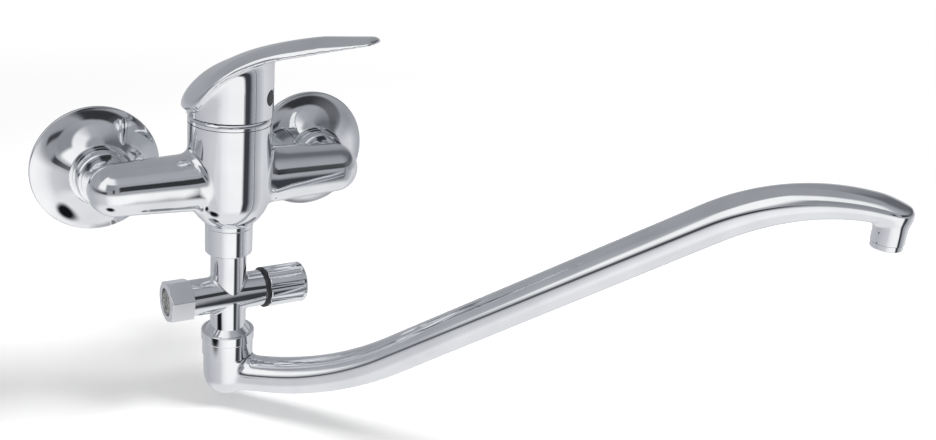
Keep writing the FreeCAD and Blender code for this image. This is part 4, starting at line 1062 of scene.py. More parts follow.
@dataclass
class Lever(SubAssembly):
    """Hub and curved handle in one casting, with the plug over its screw.

    The handle starts as a broad crowned leaf over the hub, overhangs it a little and
    narrows towards the tip. Sizes are in mm and angles in degrees.
    """

    heading: float = -45.0
    low: float = 44.9
    hub_radius: float = 27.6
    leaf: tuple[LeafSection, ...] = (
        LeafSection(-31.0, 50.2, 51.4, 3.0),
        LeafSection(-30.0, 49.4, 54.0, 7.9),
        LeafSection(-28.0, 48.9, 57.8, 13.3),
        LeafSection(-24.0, 48.8, 63.1, 19.6),
        LeafSection(-18.0, 49.3, 69.3, 25.2),
        LeafSection(-12.0, 51.6, 74.0, 28.6),
        LeafSection(-6.0, 57.6, 77.7, 30.2),
        LeafSection(0.0, 65.2, 81.0, 30.5),
        LeafSection(6.0, 71.2, 84.2, 29.6),
        LeafSection(12.0, 75.7, 87.0, 27.6),
        LeafSection(20.0, 80.3, 90.3, 23.6),
        LeafSection(30.0, 84.4, 93.9, 18.7),
        LeafSection(42.0, 88.0, 97.6, 15.4),
        LeafSection(56.0, 92.0, 101.3, 13.6),
        LeafSection(72.0, 97.0, 104.4, 12.2),
        LeafSection(88.0, 101.2, 106.2, 11.0),
        LeafSection(97.0, 103.3, 106.3, 10.2),
    )
    # The leaf's rings: step and number of each run of them, and gaps before the tip
    ring_runs: tuple[tuple[float, int], ...] = ((0.5, 16), (1.5, 57))
    tip_gaps: tuple[float, ...] = (5.0, 4.0, 3.0, 2.1, 1.4, 0.8, 0.4, 0.12)
    tip_rounding: float = 6.0
    # The raw hub, and the blocks that trim hub and leaf along the leaf's edges
    hub_spare: float = 14.0
    hub_reach: float = 105.0
    overlap: float = 2.0
    block_back: float = -45.0
    block_front: float = 110.0
    block_half: float = 50.0
    block_top: float = 140.0
    block_spare: float = 20.0
    # Where hub and leaf flow together: from the edges, from the rim and along the leaf
    flow_above: Point = (-1.2, 1.5)
    flow_below: Point = (10.0, 16.0)
    flow_from_rim: Point = (2.5, 7.0)
    flow_along: Point = (40.0, 60.0)
    # The hollow: walls, and heights above the rim
    rim_wall: float = 1.2
    hub_wall: float = 2.4
    shoulder: float = 10.1
    ceiling: float = 17.1
    ceiling_radius: float = 15.5
    boss_radius: float = 8.5
    boss_low: float = 2.1
    trim_radius: float = 60.0
    trim_depth: float = 30.0
    # The plug, the way to the screw behind it, and the gaps round and behind the plug
    screw_way: float = 12.0
    cap_height: float = 58.5
    cap_radius: float = 5.0
    cap_depth: float = 4.0
    cap_gap: float = 0.2
    cap_seat: float = 0.05
    cap_sunk: float = 0.1
    # The plug's dome: steps in from its side and down from its face
    cap_dome: tuple[Point, ...] = ((0.0, 0.4), (0.5, 0.1), (2.5, 0.0), (5.0, -0.05))

    def build(self) -> None:
        """Builds lever and plug, and dresses what stays."""
        lever = self.casting("cast_lever")
        stand(lever, place=self.place(), heading=self.heading)
        shade(lever, angle=40.0, weighted=False)
        self.finish(lever, Body.LEVER, PolishedChrome(), "lever")
        cap = self.plug("dark_screw_plug")
        stand(cap, place=self.place(), heading=self.heading)
        self.finish(shade(cap), Body.LEVER, BlackAbs(), "screw_cap")
        self.dress(StainlessSteel(), "lever_grub_screw")

    def section(self, along: float) -> LeafSection:
        """The leaf's cross-section at any place, smoothly between the given ones.

        Args:
            along: Distance in front of the upright axis.

        Returns:
            The cross-section.
        """
        last = len(self.leaf) - 1
        index = sum(1 for known in self.leaf[1:-1] if known.along <= along)
        around = [
            self.leaf[min(max(index + shift, 0), last)] for shift in (-1, 0, 1, 2)
        ]
        edge, crown, wide = (
            self.between(along, around, size) for size in ("edge", "crown", "wide")
        )
        return LeafSection(along, edge, crown, wide)

    @staticmethod
    def between(along: float, around: list[LeafSection], size: str) -> float:
        """One size of the leaf, on a smooth curve through the given cross-sections.

        Args:
            along: Distance in front of the upright axis.
            around: The two cross-sections behind that place and the two ahead of it.
            size: Name of the size.

        Returns:
            The size at that place, in mm.
        """
        places = [known.along for known in around]
        values = [getattr(known, size) for known in around]
        span = places[2] - places[1]
        share = (along - places[1]) / span
        rise_in = (values[2] - values[0]) / (places[2] - places[0]) * span
        rise_out = (values[3] - values[1]) / (places[3] - places[1]) * span
        square, cube = share * share, share**3
        return (
            values[1] * (2 * cube - 3 * square + 1)
            + rise_in * (cube - 2 * square + share)
            + values[2] * (3 * square - 2 * cube)
            + rise_out * (cube - square)
        )

    def places(self) -> list[float]:
        """Where the leaf gets a ring: close together at its back and its tip."""
        places: list[float] = []
        start, tip = self.leaf[0].along, self.leaf[-1].along
        for step, count in self.ring_runs:
            places += [start + step * number for number in range(count)]
            start += step * count
        return places + [tip - gap for gap in self.tip_gaps]

    def rings(self) -> list[Station]:
        """The rings of the leaf, each with its centre between the two lower edges."""
        tip = self.leaf[-1].along
        rings = []
        for along in self.places():
            known = self.section(along)
            past = max(along - (tip - self.tip_rounding), 0.0) / self.tip_rounding
            shrink = math.sqrt(1 - past * past)
            tall = (known.crown - known.edge) * shrink**0.5
            rings.append(Station(along, known.edge, 0.0, known.wide * shrink, tall))
        return rings

    def casting(self, name: str) -> bpy.types.Object:
        """Hub and handle as one softened shape, hollow below.

        Args:
            name: Name of the part.

        Returns:
            The lever, heading along +X.
        """
        radius, bottom = self.hub_radius, self.low - self.hub_spare
        leaf = swept("lever_leaf", self.rings(), sides=96)
        above = self.block("above_edges", lift=0.0, far=self.block_top)
        cut(leaf, above, "INTERSECT")
        part = turned(name, [(radius, bottom), (radius, self.hub_reach)])
        far = self.low - self.block_spare
        cut(part, self.block("below_leaf", lift=self.overlap, far=far), "INTERSECT")
        cut(part, leaf, "UNION")
        soften(part, grain=0.65, passes=7)
        relax(part, passes=120, share=self.transition)
        cut(part, self.hollow())
        way = self.cap_radius + self.cap_gap
        screw_way = turned("screw_way", [(way, 0.0), (way, self.screw_way)])
        spot = (radius - self.cap_depth, 0.0, self.cap_height)
        cut(part, stand(screw_way, Facing.RIGHT, spot))
        return close_up(part, fill=False)

    def transition(self, spot: Vector) -> float:
        """How much a point takes part in the transition from hub to leaf.

        Args:
            spot: The point, in mm.

        Returns:
            The share, from 0 to 1.
        """
        back, tip = self.leaf[0].along, self.leaf[-1].along
        below = self.section(min(max(spot.x, back), tip)).edge - spot.z
        near_edge = ease(below, *self.flow_above) * (1 - ease(below, *self.flow_below))
        start, end = self.flow_from_rim
        above_rim = ease(spot.z, self.low + start, self.low + end)
        return near_edge * above_rim * (1.0 - ease(spot.x, *self.flow_along))

    def block(self, name: str, lift: float, far: float) -> bpy.types.Object:
        """A block between the line of the leaf's edges and a level far above or below.

        Args:
            name: Name of the block.
            lift: How far above the edges it starts.
            far: Height of its other side.

        Returns:
            The block.
        """
        back, front, half = self.block_back, self.block_front, self.block_half * MM
        line = [(back, self.leaf[0].edge + lift)]
        for along in self.places()[::2]:
            line.append((along, self.section(along).edge + lift))
        line += [(front, self.leaf[-1].edge + lift), (front, far), (back, far)]
        deselect_all()
        bpy.ops.mesh.primitive_plane_add(size=MM)
        block = bpy.context.object
        block.name = name
        bpy.ops.object.mode_set(mode="EDIT")
        bpy.ops.mesh.select_all(action="SELECT")
        bpy.ops.mesh.merge(type="CENTER")
        x, z = line[0]
        bpy.ops.transform.translate(value=(x * MM, half, z * MM))
        for next_x, next_z in line[1:]:
            step = ((next_x - x) * MM, 0.0, (next_z - z) * MM)
            bpy.ops.mesh.extrude_region_move(TRANSFORM_OT_translate={"value": step})
            x, z = next_x, next_z
        bpy.ops.mesh.select_all(action="SELECT")
        bpy.ops.mesh.edge_face_add()
        bpy.ops.mesh.extrude_region_move(
            TRANSFORM_OT_translate={"value": (0.0, -2 * half, 0.0)}
        )
        bpy.ops.object.mode_set(mode="OBJECT")
        return close_up(block)

    def hollow(self) -> bpy.types.Object:
        """The space below the rim and round the boss."""
        rim, wall = self.hub_radius - self.rim_wall, self.hub_radius - self.hub_wall
        low = self.low
        outline = [
            (self.trim_radius, low - self.trim_depth),
            (self.trim_radius, low),
            (rim, low),
            (wall, low + rim - wall),
            (wall, low + self.shoulder),
            (self.ceiling_radius, low + self.ceiling),
            (self.boss_radius, low + self.ceiling),
            (self.boss_radius, low + self.boss_low),
            (0.0, low + self.boss_low),
        ]
        return turned("lever_hollow", outline, sides=128)

    def plug(self, name: str) -> bpy.types.Object:
        """The round plug over the lever's screw, slightly domed.

        Args:
            name: Name of the part.

        Returns:
            The plug, heading along +X.
        """
        radius, depth = self.cap_radius, self.cap_depth - self.cap_sunk
        outline = [(radius, 0.0)]
        outline += [(radius - inset, depth - drop) for inset, drop in self.cap_dome]
        start = self.hub_radius - self.cap_depth + self.cap_seat
        part = turned(name, outline, sides=48)
        round_edges(part, width=0.15, segments=2, angle=30.0)
        return stand(part, Facing.RIGHT, (start, 0.0, self.cap_height))


@dataclass
class Diverter(SubAssembly):
    """Outlet nut, cross-shaped diverter, knob and shower outlet. Sizes in mm."""

    nut_radius: float = 15.7
    nut_thread: float = 13.25
    nut_hole: float = 11.6
    nut_lip: float = 2.9
    nut_top: float = -32.8
    nut_low: float = -52.0
    nut_upper_chamfer: float = 0.5
    nut_lower_chamfer: float = 1.0
    cross_height: float = -83.0
    ring_radius: float = 14.0
    ring_hole: float = 7.05
    ring_start: float = 23.45
    ring_end: float = 26.05
    knob_end: float = 53.75
    cap_radius: float = 7.0
    cap_thick: float = 2.8
    # The disc's dome: steps in from its side and up from the knob's end
    cap_dome: tuple[Point, ...] = ((0.0, -0.1), (0.4, 0.15), (3.5, 0.32), (7.0, 0.4))

    def build(self) -> None:
        """Builds what is seen and dresses what stays."""
        chrome = PolishedChrome()
        nut = stand(self.outlet_nut("round_outlet_nut"), place=self.place())
        self.finish(shade(nut), Body.TAP, chrome, "outlet_nut")
        body = copied(self.nodes["diverter_body"], "cast_diverter_cross", merge=True)
        shade(body, angle=30.0, weighted=False)
        self.finish(body, Body.TAP, chrome, "diverter_body")
        centre = self.place(self.cross_height)
        ring = stand(self.stop_ring("black_stop_ring"), Facing.RIGHT, centre)
        self.finish(shade(ring), Body.TAP, BlackAbs(), "diverter_stop_ring")
        knob = copied(self.nodes["diverter_knob"], "fluted_knob", merge=True)
        round_edges(knob, width=0.25, segments=2, angle=40.0)
        shade(knob, angle=30.0)
        self.finish(knob, Body.DIVERTER, chrome, "diverter_knob")
        cap = stand(self.knob_disc("knob_disc"), Facing.RIGHT, centre)
        self.finish(shade(cap), Body.DIVERTER, chrome, "knob_cap")
        outlet = self.nodes["shower_outlet_hex"]
        hexagon = copied(outlet, "hexagon_shower_outlet", merge=True)
        round_edges(hexagon, width=0.3, segments=2, angle=35.0)
        shade(hexagon, angle=30.0)
        self.finish(hexagon, Body.TAP, chrome, "shower_outlet_hex")
        self.dress(WhiteAcetal(), "shower_check_valve")
        self.dress(TurnedBrass(), "diverter_headwork", "diverter_spindle")
        self.dress(StainlessSteel(), "knob_screw")
        self.dress(EpdmRubber(), "outlet_gasket")

    def outlet_nut(self, name: str) -> bpy.types.Object:
        """The round nut under the body.

        Args:
            name: Name of the part.

        Returns:
            The nut.
        """
        radius, top, low = self.nut_radius, self.nut_top, self.nut_low
        thread, hole = self.nut_thread, self.nut_hole
        upper_chamfer, lower_chamfer = self.nut_upper_chamfer, self.nut_lower_chamfer
        outline = [
            (thread, top),
            (radius - upper_chamfer, top),
            (radius, top - upper_chamfer),
            (radius, low + lower_chamfer),
            (radius - lower_chamfer, low),
            (hole, low),
            (hole, low + self.nut_lip),
            (thread, low + self.nut_lip),
            (thread, top),
        ]
        return round_edges(turned(name, outline), width=0.2, segments=2)

    def stop_ring(self, name: str) -> bpy.types.Object:
        """The black ring behind the knob.

        Args:
            name: Name of the part.

        Returns:
            The ring, its axis upright.
        """
        radius, hole = self.ring_radius, self.ring_hole
        start, end = self.ring_start, self.ring_end
        outline = [(hole, start), (radius, start), (radius, end), (hole, end)]
        return round_edges(turned(name, outline + outline[:1]), width=0.4)

    def knob_disc(self, name: str) -> bpy.types.Object:
        """The disc that closes the knob's face, slightly raised at its middle.

        Args:
            name: Name of the part.

        Returns:
            The disc, its axis upright.
        """
        radius, end = self.cap_radius, self.knob_end
        outline = [(radius, end - self.cap_thick)]
        outline += [(radius - inset, end + rise) for inset, rise in self.cap_dome]
        part = turned(name, outline, sides=64)
        return round_edges(part, width=0.12, segments=2, angle=30.0)


@dataclass
class Spout(SubAssembly):
    """Spout nut, long bent spout and aerator. Sizes in mm, angles in degrees."""

    heading: float = -45.0
    elbow_height: float = -143.6
    elbow_radius: float = 16.6
    foot_top: float = -128.3
    foot_spare: float = 10.0
    neck_radius: float = 12.9
    neck_cut_radius: float = 30.0
    neck_cut_height: float = 24.0
    tube_radius: float = 12.75
    start_slope: float = 6.5
    run_slope: float = 34.0
    tip_slope: float = -1.5
    start_run: float = 28.0
    rise_radius: float = 205.0
    long_run: float = 230.0
    tip_radius: float = 157.0
    tip_top: float = 7.9
    tip_bottom: float = 9.5
    # The nose: how far its top falls, its underside rises and its sides close in, the
    # power at which each grows, and how its rings crowd together at the blunt edge
    nose_fall: float = 5.4
    nose_fall_power: float = 1.4
    nose_rise: float = 3.4
    nose_rise_power: float = 2.2
    nose_narrowing: float = 0.8
    nose_narrowing_power: float = 3.2
    nose_crowding: float = 1.6
    tip_overhang: float = 9.3
    tip_nose: float = 10.2
    nozzle_radius: float = 10.0
    nozzle_length: float = 20.0
    nozzle_spare: float = 4.0
    # Growth of the outlet's radius, by the distance below the tube's axis
    nozzle_flare: tuple[Point, ...] = ((0.0, 11.0), (0.6, 8.0), (1.6, 5.0), (1.6, 0.0))
    bore_radius: float = 8.3
    bore_depth: float = 7.0
    lip_chamfer: float = 0.35
    lip_clear: float = 0.1
    outlet_cut_radius: float = 16.0
    outlet_cut_depth: float = 9.0
    # Where the skin flows: from the upright axis, and back from the outlet's axis
    foot_flow: Point = (26.0, 56.0)
    nozzle_flow: Point = (24.0, 12.0)
    nozzle_flow_low: Point = (7.0, 1.0)
    tip_flow: Point = (26.0, 12.0)
    nut_radius: float = 17.9
    nut_lower_radius: float = 17.2
    nut_thread: float = 15.65
    nut_hole: float = 13.2
    nut_lip: float = 2.8
    nut_chamfer: float = 0.5
    nut_top: float = -109.8
    nut_band: float = 6.7
    nut_low: float = -128.0

    def build(self) -> None:
        """Builds what is seen and dresses what stays."""
        chrome = PolishedChrome()
        nut = stand(self.nut("banded_spout_nut"), place=self.place())
        self.finish(shade(nut), Body.TAP, chrome, "spout_nut")
        spout = self.tube("bent_spout")
        stand(spout, place=self.place(), heading=self.heading)
        shade(spout, angle=30.0, weighted=False)
        self.finish(spout, Body.SPOUT, chrome, "spout")
        self.dress(chrome, "aerator_housing")
        self.dress(WhiteAcetal(), "aerator_insert", "spout_slip_ring")
        self.dress(EpdmRubber(), "aerator_gasket", "spout_o_rings")

    def corners(self) -> list[Point]:
        """Where the centre line goes from one run or bend to the next."""
        start = math.radians(self.start_slope)
        first = (self.start_run, self.elbow_height + self.start_run * math.tan(start))
        second = on_arc(first, -self.rise_radius, self.start_slope, self.run_slope)
        run = math.radians(self.run_slope)
        third = (
            second[0] + self.long_run * math.cos(run),
            second[1] + self.long_run * math.sin(run),
        )
        fourth = on_arc(third, self.tip_radius, self.run_slope, self.tip_slope)
        return [first, second, third, fourth]

    def stations(self) -> list[Station]:
        """The rings of the tube from the foot to the rounded nose."""
        first, second, third, fourth = self.corners()
        radius = self.tube_radius
        rings = [Station(0.0, self.elbow_height, self.start_slope, radius, radius)]
        rings.append(Station(*first, self.start_slope, radius, radius))
        rise_steps, run_steps, bend_steps = 24, 12, 30
        for step in range(1, rise_steps + 1):
            climb = (self.run_slope - self.start_slope) * step / rise_steps
            slope = self.start_slope + climb
            spot = on_arc(first, -self.rise_radius, self.start_slope, slope)
            rings.append(Station(*spot, slope, radius, radius))
        for step in range(1, run_steps + 1):
            share = step / run_steps
            spot = (
                second[0] + (third[0] - second[0]) * share,
                second[1] + (third[1] - second[1]) * share,
            )
            rings.append(Station(*spot, self.run_slope, radius, radius))
        for step in range(1, bend_steps + 1):
            share = step / bend_steps
            slope = self.run_slope + (self.tip_slope - self.run_slope) * share
            along, middle = on_arc(third, self.tip_radius, self.run_slope, slope)
            top = radius + (self.tip_top - radius) * share**2
            bottom = radius + (self.tip_bottom - radius) * ease(share, 0.0, 1.0)
            middle += (top - bottom) / 2
            rings.append(Station(along, middle, slope, radius, (top + bottom) / 2))
        return rings + self.nose(fourth)

    def nose(self, start: Point) -> list[Station]:
        """The rings of the rounded nose, whose top falls to a blunt edge.

        Args:
            start: End of the upper bend.

        Returns:
            The rings.
        """
        rings, steps = [], 14
        length = self.tip_overhang + self.tip_nose
        fall = math.sin(math.radians(self.tip_slope))
        for step in range(1, steps + 1):
            share = 1 - (1 - step / steps) ** self.nose_crowding
            top = self.tip_top - self.nose_fall * share**self.nose_fall_power
            bottom = self.tip_bottom - self.nose_rise * share**self.nose_rise_power
            narrowing = self.nose_narrowing * share**self.nose_narrowing_power
            wide = self.tube_radius * math.sqrt(1 - narrowing)
            along = start[0] + length * share
            middle = start[1] + length * share * fall + (top - bottom) / 2
            rings.append(
                Station(along, middle, self.tip_slope, wide, (top + bottom) / 2)
            )
        return rings

    def nozzle_spot(self) -> Point:
        """Where the outlet's upright axis crosses the tube's axis."""
        along, height = self.corners()[-1]
        fall = math.tan(math.radians(self.tip_slope))
        return along + self.tip_overhang, height + self.tip_overhang * fall

    def tube(self, name: str) -> bpy.types.Object:
        """Foot, bent tube, flattened tip and downward outlet in one skin.

        Args:
            name: Name of the part.

        Returns:
            The spout, heading along +X.
        """
        part = swept(name, self.stations(), sides=96)
        along, height = self.nozzle_spot()
        low = height - self.nozzle_length
        start, end = (along - distance for distance in self.tip_flow)
        cut(part, self.foot(), "UNION")
        cut(part, self.nozzle(along, low - self.nozzle_spare, height), "UNION")
        soften(part, grain=0.85, passes=6)
        relax(part, passes=130, share=lambda spot: 1.0 - ease(spot.x, *self.foot_flow))
        relax(part, passes=40, share=lambda spot: self.near_nozzle(spot, along, height))
        relax(part, passes=16, share=lambda spot: ease(spot.x, start, end))
        cut(part, self.neck_cut())
        cut(part, self.outlet_cut(along, low))
        return close_up(part, fill=False)

    def near_nozzle(self, spot: Vector, along: float, height: float) -> float:
        """How much a point takes part in the transition from tube to outlet.

        Args:
            spot: The point, in mm.
            along: The outlet's axis.
            height: Height of the tube's axis there.

        Returns:
            The share, from 0 to 1.
        """
        start, end = (along - distance for distance in self.nozzle_flow)
        low, high = (height - distance for distance in self.nozzle_flow_low)
        return ease(spot.x, start, end) * (1.0 - ease(spot.z, low, high))

    def foot(self) -> bpy.types.Object:
        """The round foot that turns in the spout nut."""
        centre, radius, steps = self.elbow_height, self.elbow_radius, 16
        outline = [(radius, self.foot_top + self.foot_spare), (radius, centre)]
        for step in range(1, steps):
            angle = math.radians(90 * step / steps)
            across, down = radius * math.cos(angle), radius * math.sin(angle)
            outline.append((across, centre - down))
        return turned("spout_foot", outline + [(0.0, centre - radius)])

    def nozzle(self, along: float, low: float, high: float) -> bpy.types.Object:
        """The downward outlet, a little wider where it leaves the tube.

        Args:
            along: Its axis.
            low: Its lower end.
            high: Its upper end, inside the tube.

        Returns:
            The outlet's outer shape.
        """
        radius = self.nozzle_radius
        outline = [(radius, low)]
        outline += [(radius + wider, high - drop) for wider, drop in self.nozzle_flare]
        return stand(turned("nozzle", outline), place=(along, 0.0, 0.0))

    def neck_cut(self) -> bpy.types.Object:
        """The ring that is cut away above the foot, round its neck."""
        neck, outside = self.neck_radius, self.neck_cut_radius
        low, high = self.foot_top, self.foot_top + self.neck_cut_height
        outline = [(neck, low), (outside, low), (outside, high), (neck, high)]
        return turned("neck_cut", outline + outline[:1])

    def outlet_cut(self, along: float, low: float) -> bpy.types.Object:
        """What is cut off below the outlet, with the bore for the aerator.

        Args:
            along: The outlet's axis.
            low: Its lower end.

        Returns:
            The cutting shape.
        """
        radius, bore = self.nozzle_radius, self.bore_radius
        outside, chamfer = self.outlet_cut_radius, self.lip_chamfer
        outline = [
            (outside, low - self.outlet_cut_depth),
            (outside, low + chamfer),
            (radius + self.lip_clear, low + chamfer),
            (radius - chamfer, low),
            (bore, low),
            (bore, low + self.bore_depth),
        ]
        return stand(turned("outlet_cut", outline), place=(along, 0.0, 0.0))

    def nut(self, name: str) -> bpy.types.Object:
        """The nut with its raised band.

        Args:
            name: Name of the part.

        Returns:
            The nut.
        """
        top, low, chamfer = self.nut_top, self.nut_low, self.nut_chamfer
        band, lower = self.nut_radius, self.nut_lower_radius
        thread, hole = self.nut_thread, self.nut_hole
        outline = [
            (thread, top),
            (band - chamfer, top),
            (band, top - chamfer),
            (band, top - self.nut_band),
            (lower, top - self.nut_band - chamfer),
            (lower, low),
            (hole, low),
            (hole, low + self.nut_lip),
            (thread, low + self.nut_lip),
            (thread, top),
        ]
        return round_edges(turned(name, outline), width=0.22, segments=2)


# Studio


@dataclass(frozen=True)
class Layer:
    """Painted reflections: panels that only mirrors see above a height of the room.

    Heights are the upright part of a direction that is 1 long.

    Attributes:
        start: Height at which the layer begins to show.
        full: Height from which it covers what lies below.
        panels: Bearing and colour of its panels.
    """

    start: float
    full: float
    panels: Stops


@dataclass(frozen=True)
class Softbox:
    """A square soft lamp that points at the tap. Sizes are in metres.

    Attributes:
        name: Name of the lamp.
        place: Where it hangs.
        side: Length of its side.
        power: Its power in watts.
    """

    name: str
    place: tuple[float, float, float]
    side: float
    power: float

    def hang(self, target: tuple[float, float, float]) -> None:
        """Adds the lamp. It lights the tap and isn't seen in the chrome.

        Args:
            target: The point that it faces, in metres.
        """
        deselect_all()
        bpy.ops.object.light_add(type="AREA", location=self.place)
        lamp = bpy.context.object
        lamp.name = self.name
        lamp.data.shape = "SQUARE"
        lamp.data.size = self.side
        lamp.data.energy = self.power
        lamp.visible_glossy = False
        aim = Vector(target) - Vector(self.place)
        lamp.rotation_euler = aim.to_track_quat("-Z", "Y").to_euler()


@dataclass(frozen=True)
class Studio:
    """A pale floor, two soft lamps and a plain white room.

    Mirrors look past the floor into painted reflections that only they see: grey and
    white panels on the room's walls and ceiling and a dark band near eye level, as a
    photographer's room has.

    Attributes:
        floor_height: Height of the floor below the arms, in metres.
        floor_half: Half the floor's width, in metres.
        target: The point that the lamps face, in metres.
        softboxes: The lamps.
        daylight: Strength of the room's light on matt surfaces.
        paper: Colour of the floor's paper.
        paper_grain: Size of the paper's grain in mm, drawn coarser than real to show.
        paper_relief: Height of that grain in mm.
        paper_bump: How much of that height the light shows.
        paper_lift: How much of the white backdrop the camera sees in the paper.
        paper_fade: Distances from the tap, in metres, over which it turns white.
        dark_reflection_patch: Middle of a dark patch on the floor that only mirrors
            see, a painted dark reflection below the left rosette.
        dark_reflection_patch_fade: Distances from it, in metres, over which its
            darkness ends.
        dark_reflection_patch_colour: Its colour, the dark of the painted reflection.
        front_left: Level direction whose bearing is 0.5.
        below: What mirrors see straight below.
        layers: What they see above that, from the table to the ceiling.
        band_colour: Colour of the dark band.
        band_depths: How dark the band is, by bearing.
        band_middle: Two bearings with the height of the band's middle there.
        band_half: Two bearings with half the band's width there.
        band_fade: Where the band's edge starts and ends, in half widths.
    """

    floor_height: float = -0.165
    floor_half: float = 6.0
    target: tuple[float, float, float] = (0.05, -0.1, -0.03)
    softboxes: tuple[Softbox, ...] = (
        Softbox("key_softbox", (0.75, -0.55, 1.3), 0.6, 21.0),
        Softbox("fill_softbox", (-1.3, -0.9, 0.9), 1.1, 4.0),
    )
    daylight: float = 0.55
    paper: str = "#F5F5F5"
    paper_grain: float = 10 / 3
    paper_relief: float = 0.2
    paper_bump: float = 0.3
    paper_lift: float = 0.12
    paper_fade: Point = (0.5, 1.1)
    # A dark patch on the floor that only mirrors see: a painted dark reflection for the
    # left rosette
    dark_reflection_patch: tuple[float, float, float] = (-0.128, -0.085, -0.165)
    dark_reflection_patch_fade: Point = (0.022, 0.052)
    dark_reflection_patch_colour: str = "#14161A"
    front_left: Point = (-0.355, -0.935)
    # Painted reflections that only mirrors see, from straight below up to the ceiling
    below: str = "#E8E9EB"
    layers: tuple[Layer, ...] = (
        Layer(
            -0.85,
            -0.62,
            (
                (0.0, "#C2C3C8"), (0.22, "#B7B9BE"), (0.3, "#C5C6CB"),
                (0.4, "#D2D3D7"), (0.45, "#F4F4F6"), (0.5, "#FFFFFF"),
                (0.595, "#FFFFFF"), (0.612, "#3C3E43"), (0.645, "#3C3E43"),
                (0.67, "#A0A2A7"), (0.72, "#B4B6BB"), (0.78, "#DADBDE"),
                (0.9, "#CBCCD0"), (1.0, "#C2C3C8"),
            ),
        ),
        Layer(
            -0.22,
            0.02,
            (
                (0.0, "#AAACB1"), (0.2, "#A6A8AD"), (0.3, "#9EA0A5"),
                (0.36, "#B4B6BB"), (0.44, "#9C9EA3"), (0.5, "#A0A2A7"),
                (0.62, "#A6A8AD"), (0.72, "#96989D"), (0.8, "#B0B2B7"),
                (0.88, "#C0C1C6"), (1.0, "#AAACB1"),
            ),
        ),
        Layer(
            0.14,
            0.34,
            (
                (0.0, "#9C9EA3"), (0.2, "#A2A4A9"), (0.3, "#AAACB1"),
                (0.325, "#FFFFFF"), (0.395, "#FFFFFF"), (0.42, "#8E9095"),
                (0.5, "#92949A"), (0.56, "#A4A6AB"), (0.66, "#A4A6AB"),
                (0.74, "#85878C"), (0.79, "#6A6C71"), (0.86, "#6A6C71"),
                (0.92, "#94969B"), (1.0, "#9C9EA3"),
            ),
        ),
        Layer(
            0.6,
            0.68,
            (
                (0.0, "#9C9EA3"), (0.31, "#9C9EA3"), (0.33, "#FFFFFF"),
                (0.5, "#F4F4F6"), (0.57, "#B0B2B7"), (0.68, "#A0A2A7"),
                (0.78, "#6A6C71"), (0.86, "#6A6C71"), (0.92, "#94969B"),
                (1.0, "#9C9EA3"),
            ),
        ),
        Layer(0.88, 0.96, ((0.0, "#9C9EA3"),)),
    )
    band_colour: str = "#15171B"
    band_depths: Stops = (
        (0.0, "#000000"), (0.18, "#202020"), (0.22, "#707070"), (0.3, "#C4C4C4"),
        (0.34, "#DCDCDC"), (0.4, "#F0F0F0"), (0.422, "#F0F0F0"), (0.44, "#404040"),
        (0.488, "#505050"), (0.5, "#F0F0F0"), (0.514, "#F0F0F0"), (0.524, "#404040"),
        (0.56, "#404040"), (0.575, "#F6F6F6"), (0.63, "#F6F6F6"), (0.7, "#C4C4C4"),
        (0.8, "#8C8C8C"), (0.88, "#2A2A2A"), (1.0, "#000000"),
    )
    band_middle: tuple[Point, Point] = ((0.42, 0.05), (0.6, 0.34))
    band_half: tuple[Point, Point] = ((0.42, 0.08), (0.56, 0.16))
    band_fade: Point = (1.25, 0.75)

    def build(self) -> None:
        """Lays the floor and sets the room and the lamps."""
        self.floor()
        self.room()
        for softbox in self.softboxes:
            softbox.hang(self.target)

    def floor(self) -> None:
        """A white sheet that keeps the tap's shadow."""
        deselect_all()
        bpy.ops.mesh.primitive_plane_add(
            size=2 * self.floor_half, location=(0.0, 0.0, self.floor_height)
        )
        sheet = bpy.context.object
        sheet.name = "studio_floor"
        settle(sheet)
        sheet.data.materials.append(self.floor_material())

    def floor_material(self) -> bpy.types.Material:
        """Matt white paper, soft and without gloss.

        The camera sees it fade into the white room, and mirrors look through it at the
        room and at a painted dark reflection, a dark patch that only they see.

        Returns:
            The material.
        """
        made = bpy.data.materials.new("white_paper_sheet")
        made.use_nodes = True
        tree = made.node_tree
        tree.nodes.clear()
        path = add_node(tree, "ShaderNodeLightPath")
        spot = add_node(tree, "ShaderNodeTexCoord").outputs["Object"]
        grain = add_node(
            tree,
            "ShaderNodeTexNoise",
            {"Vector": spot, "Scale": 1 / (self.paper_grain * MM)},
        )
        bump = add_node(
            tree,
            "ShaderNodeBump",
            {
                "Height": grain.outputs["Fac"],
                "Distance": self.paper_relief * MM,
                "Strength": self.paper_bump,
            },
        )
        paper = add_node(
            tree,
            "ShaderNodeBsdfDiffuse",
            {"Color": linear(self.paper), "Normal": bump.outputs["Normal"]},
        )
        lift = add_node(
            tree,
            "ShaderNodeMath",
            {0: path.outputs["Is Camera Ray"], 1: self.paper_lift},
            operation="MULTIPLY",
        )
        glow = add_node(
            tree,
            "ShaderNodeEmission",
            {"Color": linear(WHITE), "Strength": lift.outputs[0]},
        )
        near = add_node(
            tree, "ShaderNodeAddShader", {0: paper.outputs[0], 1: glow.outputs[0]}
        )
        distance = add_node(tree, "ShaderNodeVectorMath", {0: spot}, operation="LENGTH")
        share = add_node(
            tree,
            "ShaderNodeMapRange",
            {
                "Value": distance.outputs["Value"],
                "From Min": self.paper_fade[0],
                "From Max": self.paper_fade[1],
            },
            interpolation_type="SMOOTHSTEP",
        )
        far = add_node(
            tree,
            "ShaderNodeMath",
            {0: path.outputs["Is Camera Ray"], 1: share.outputs["Result"]},
            operation="MULTIPLY",
        )
        backdrop = add_node(
            tree, "ShaderNodeEmission", {"Color": linear(WHITE), "Strength": 1.0}
        )
        seen = add_node(
            tree,
            "ShaderNodeMixShader",
            {0: far.outputs[0], 1: near.outputs[0], 2: backdrop.outputs[0]},
        )
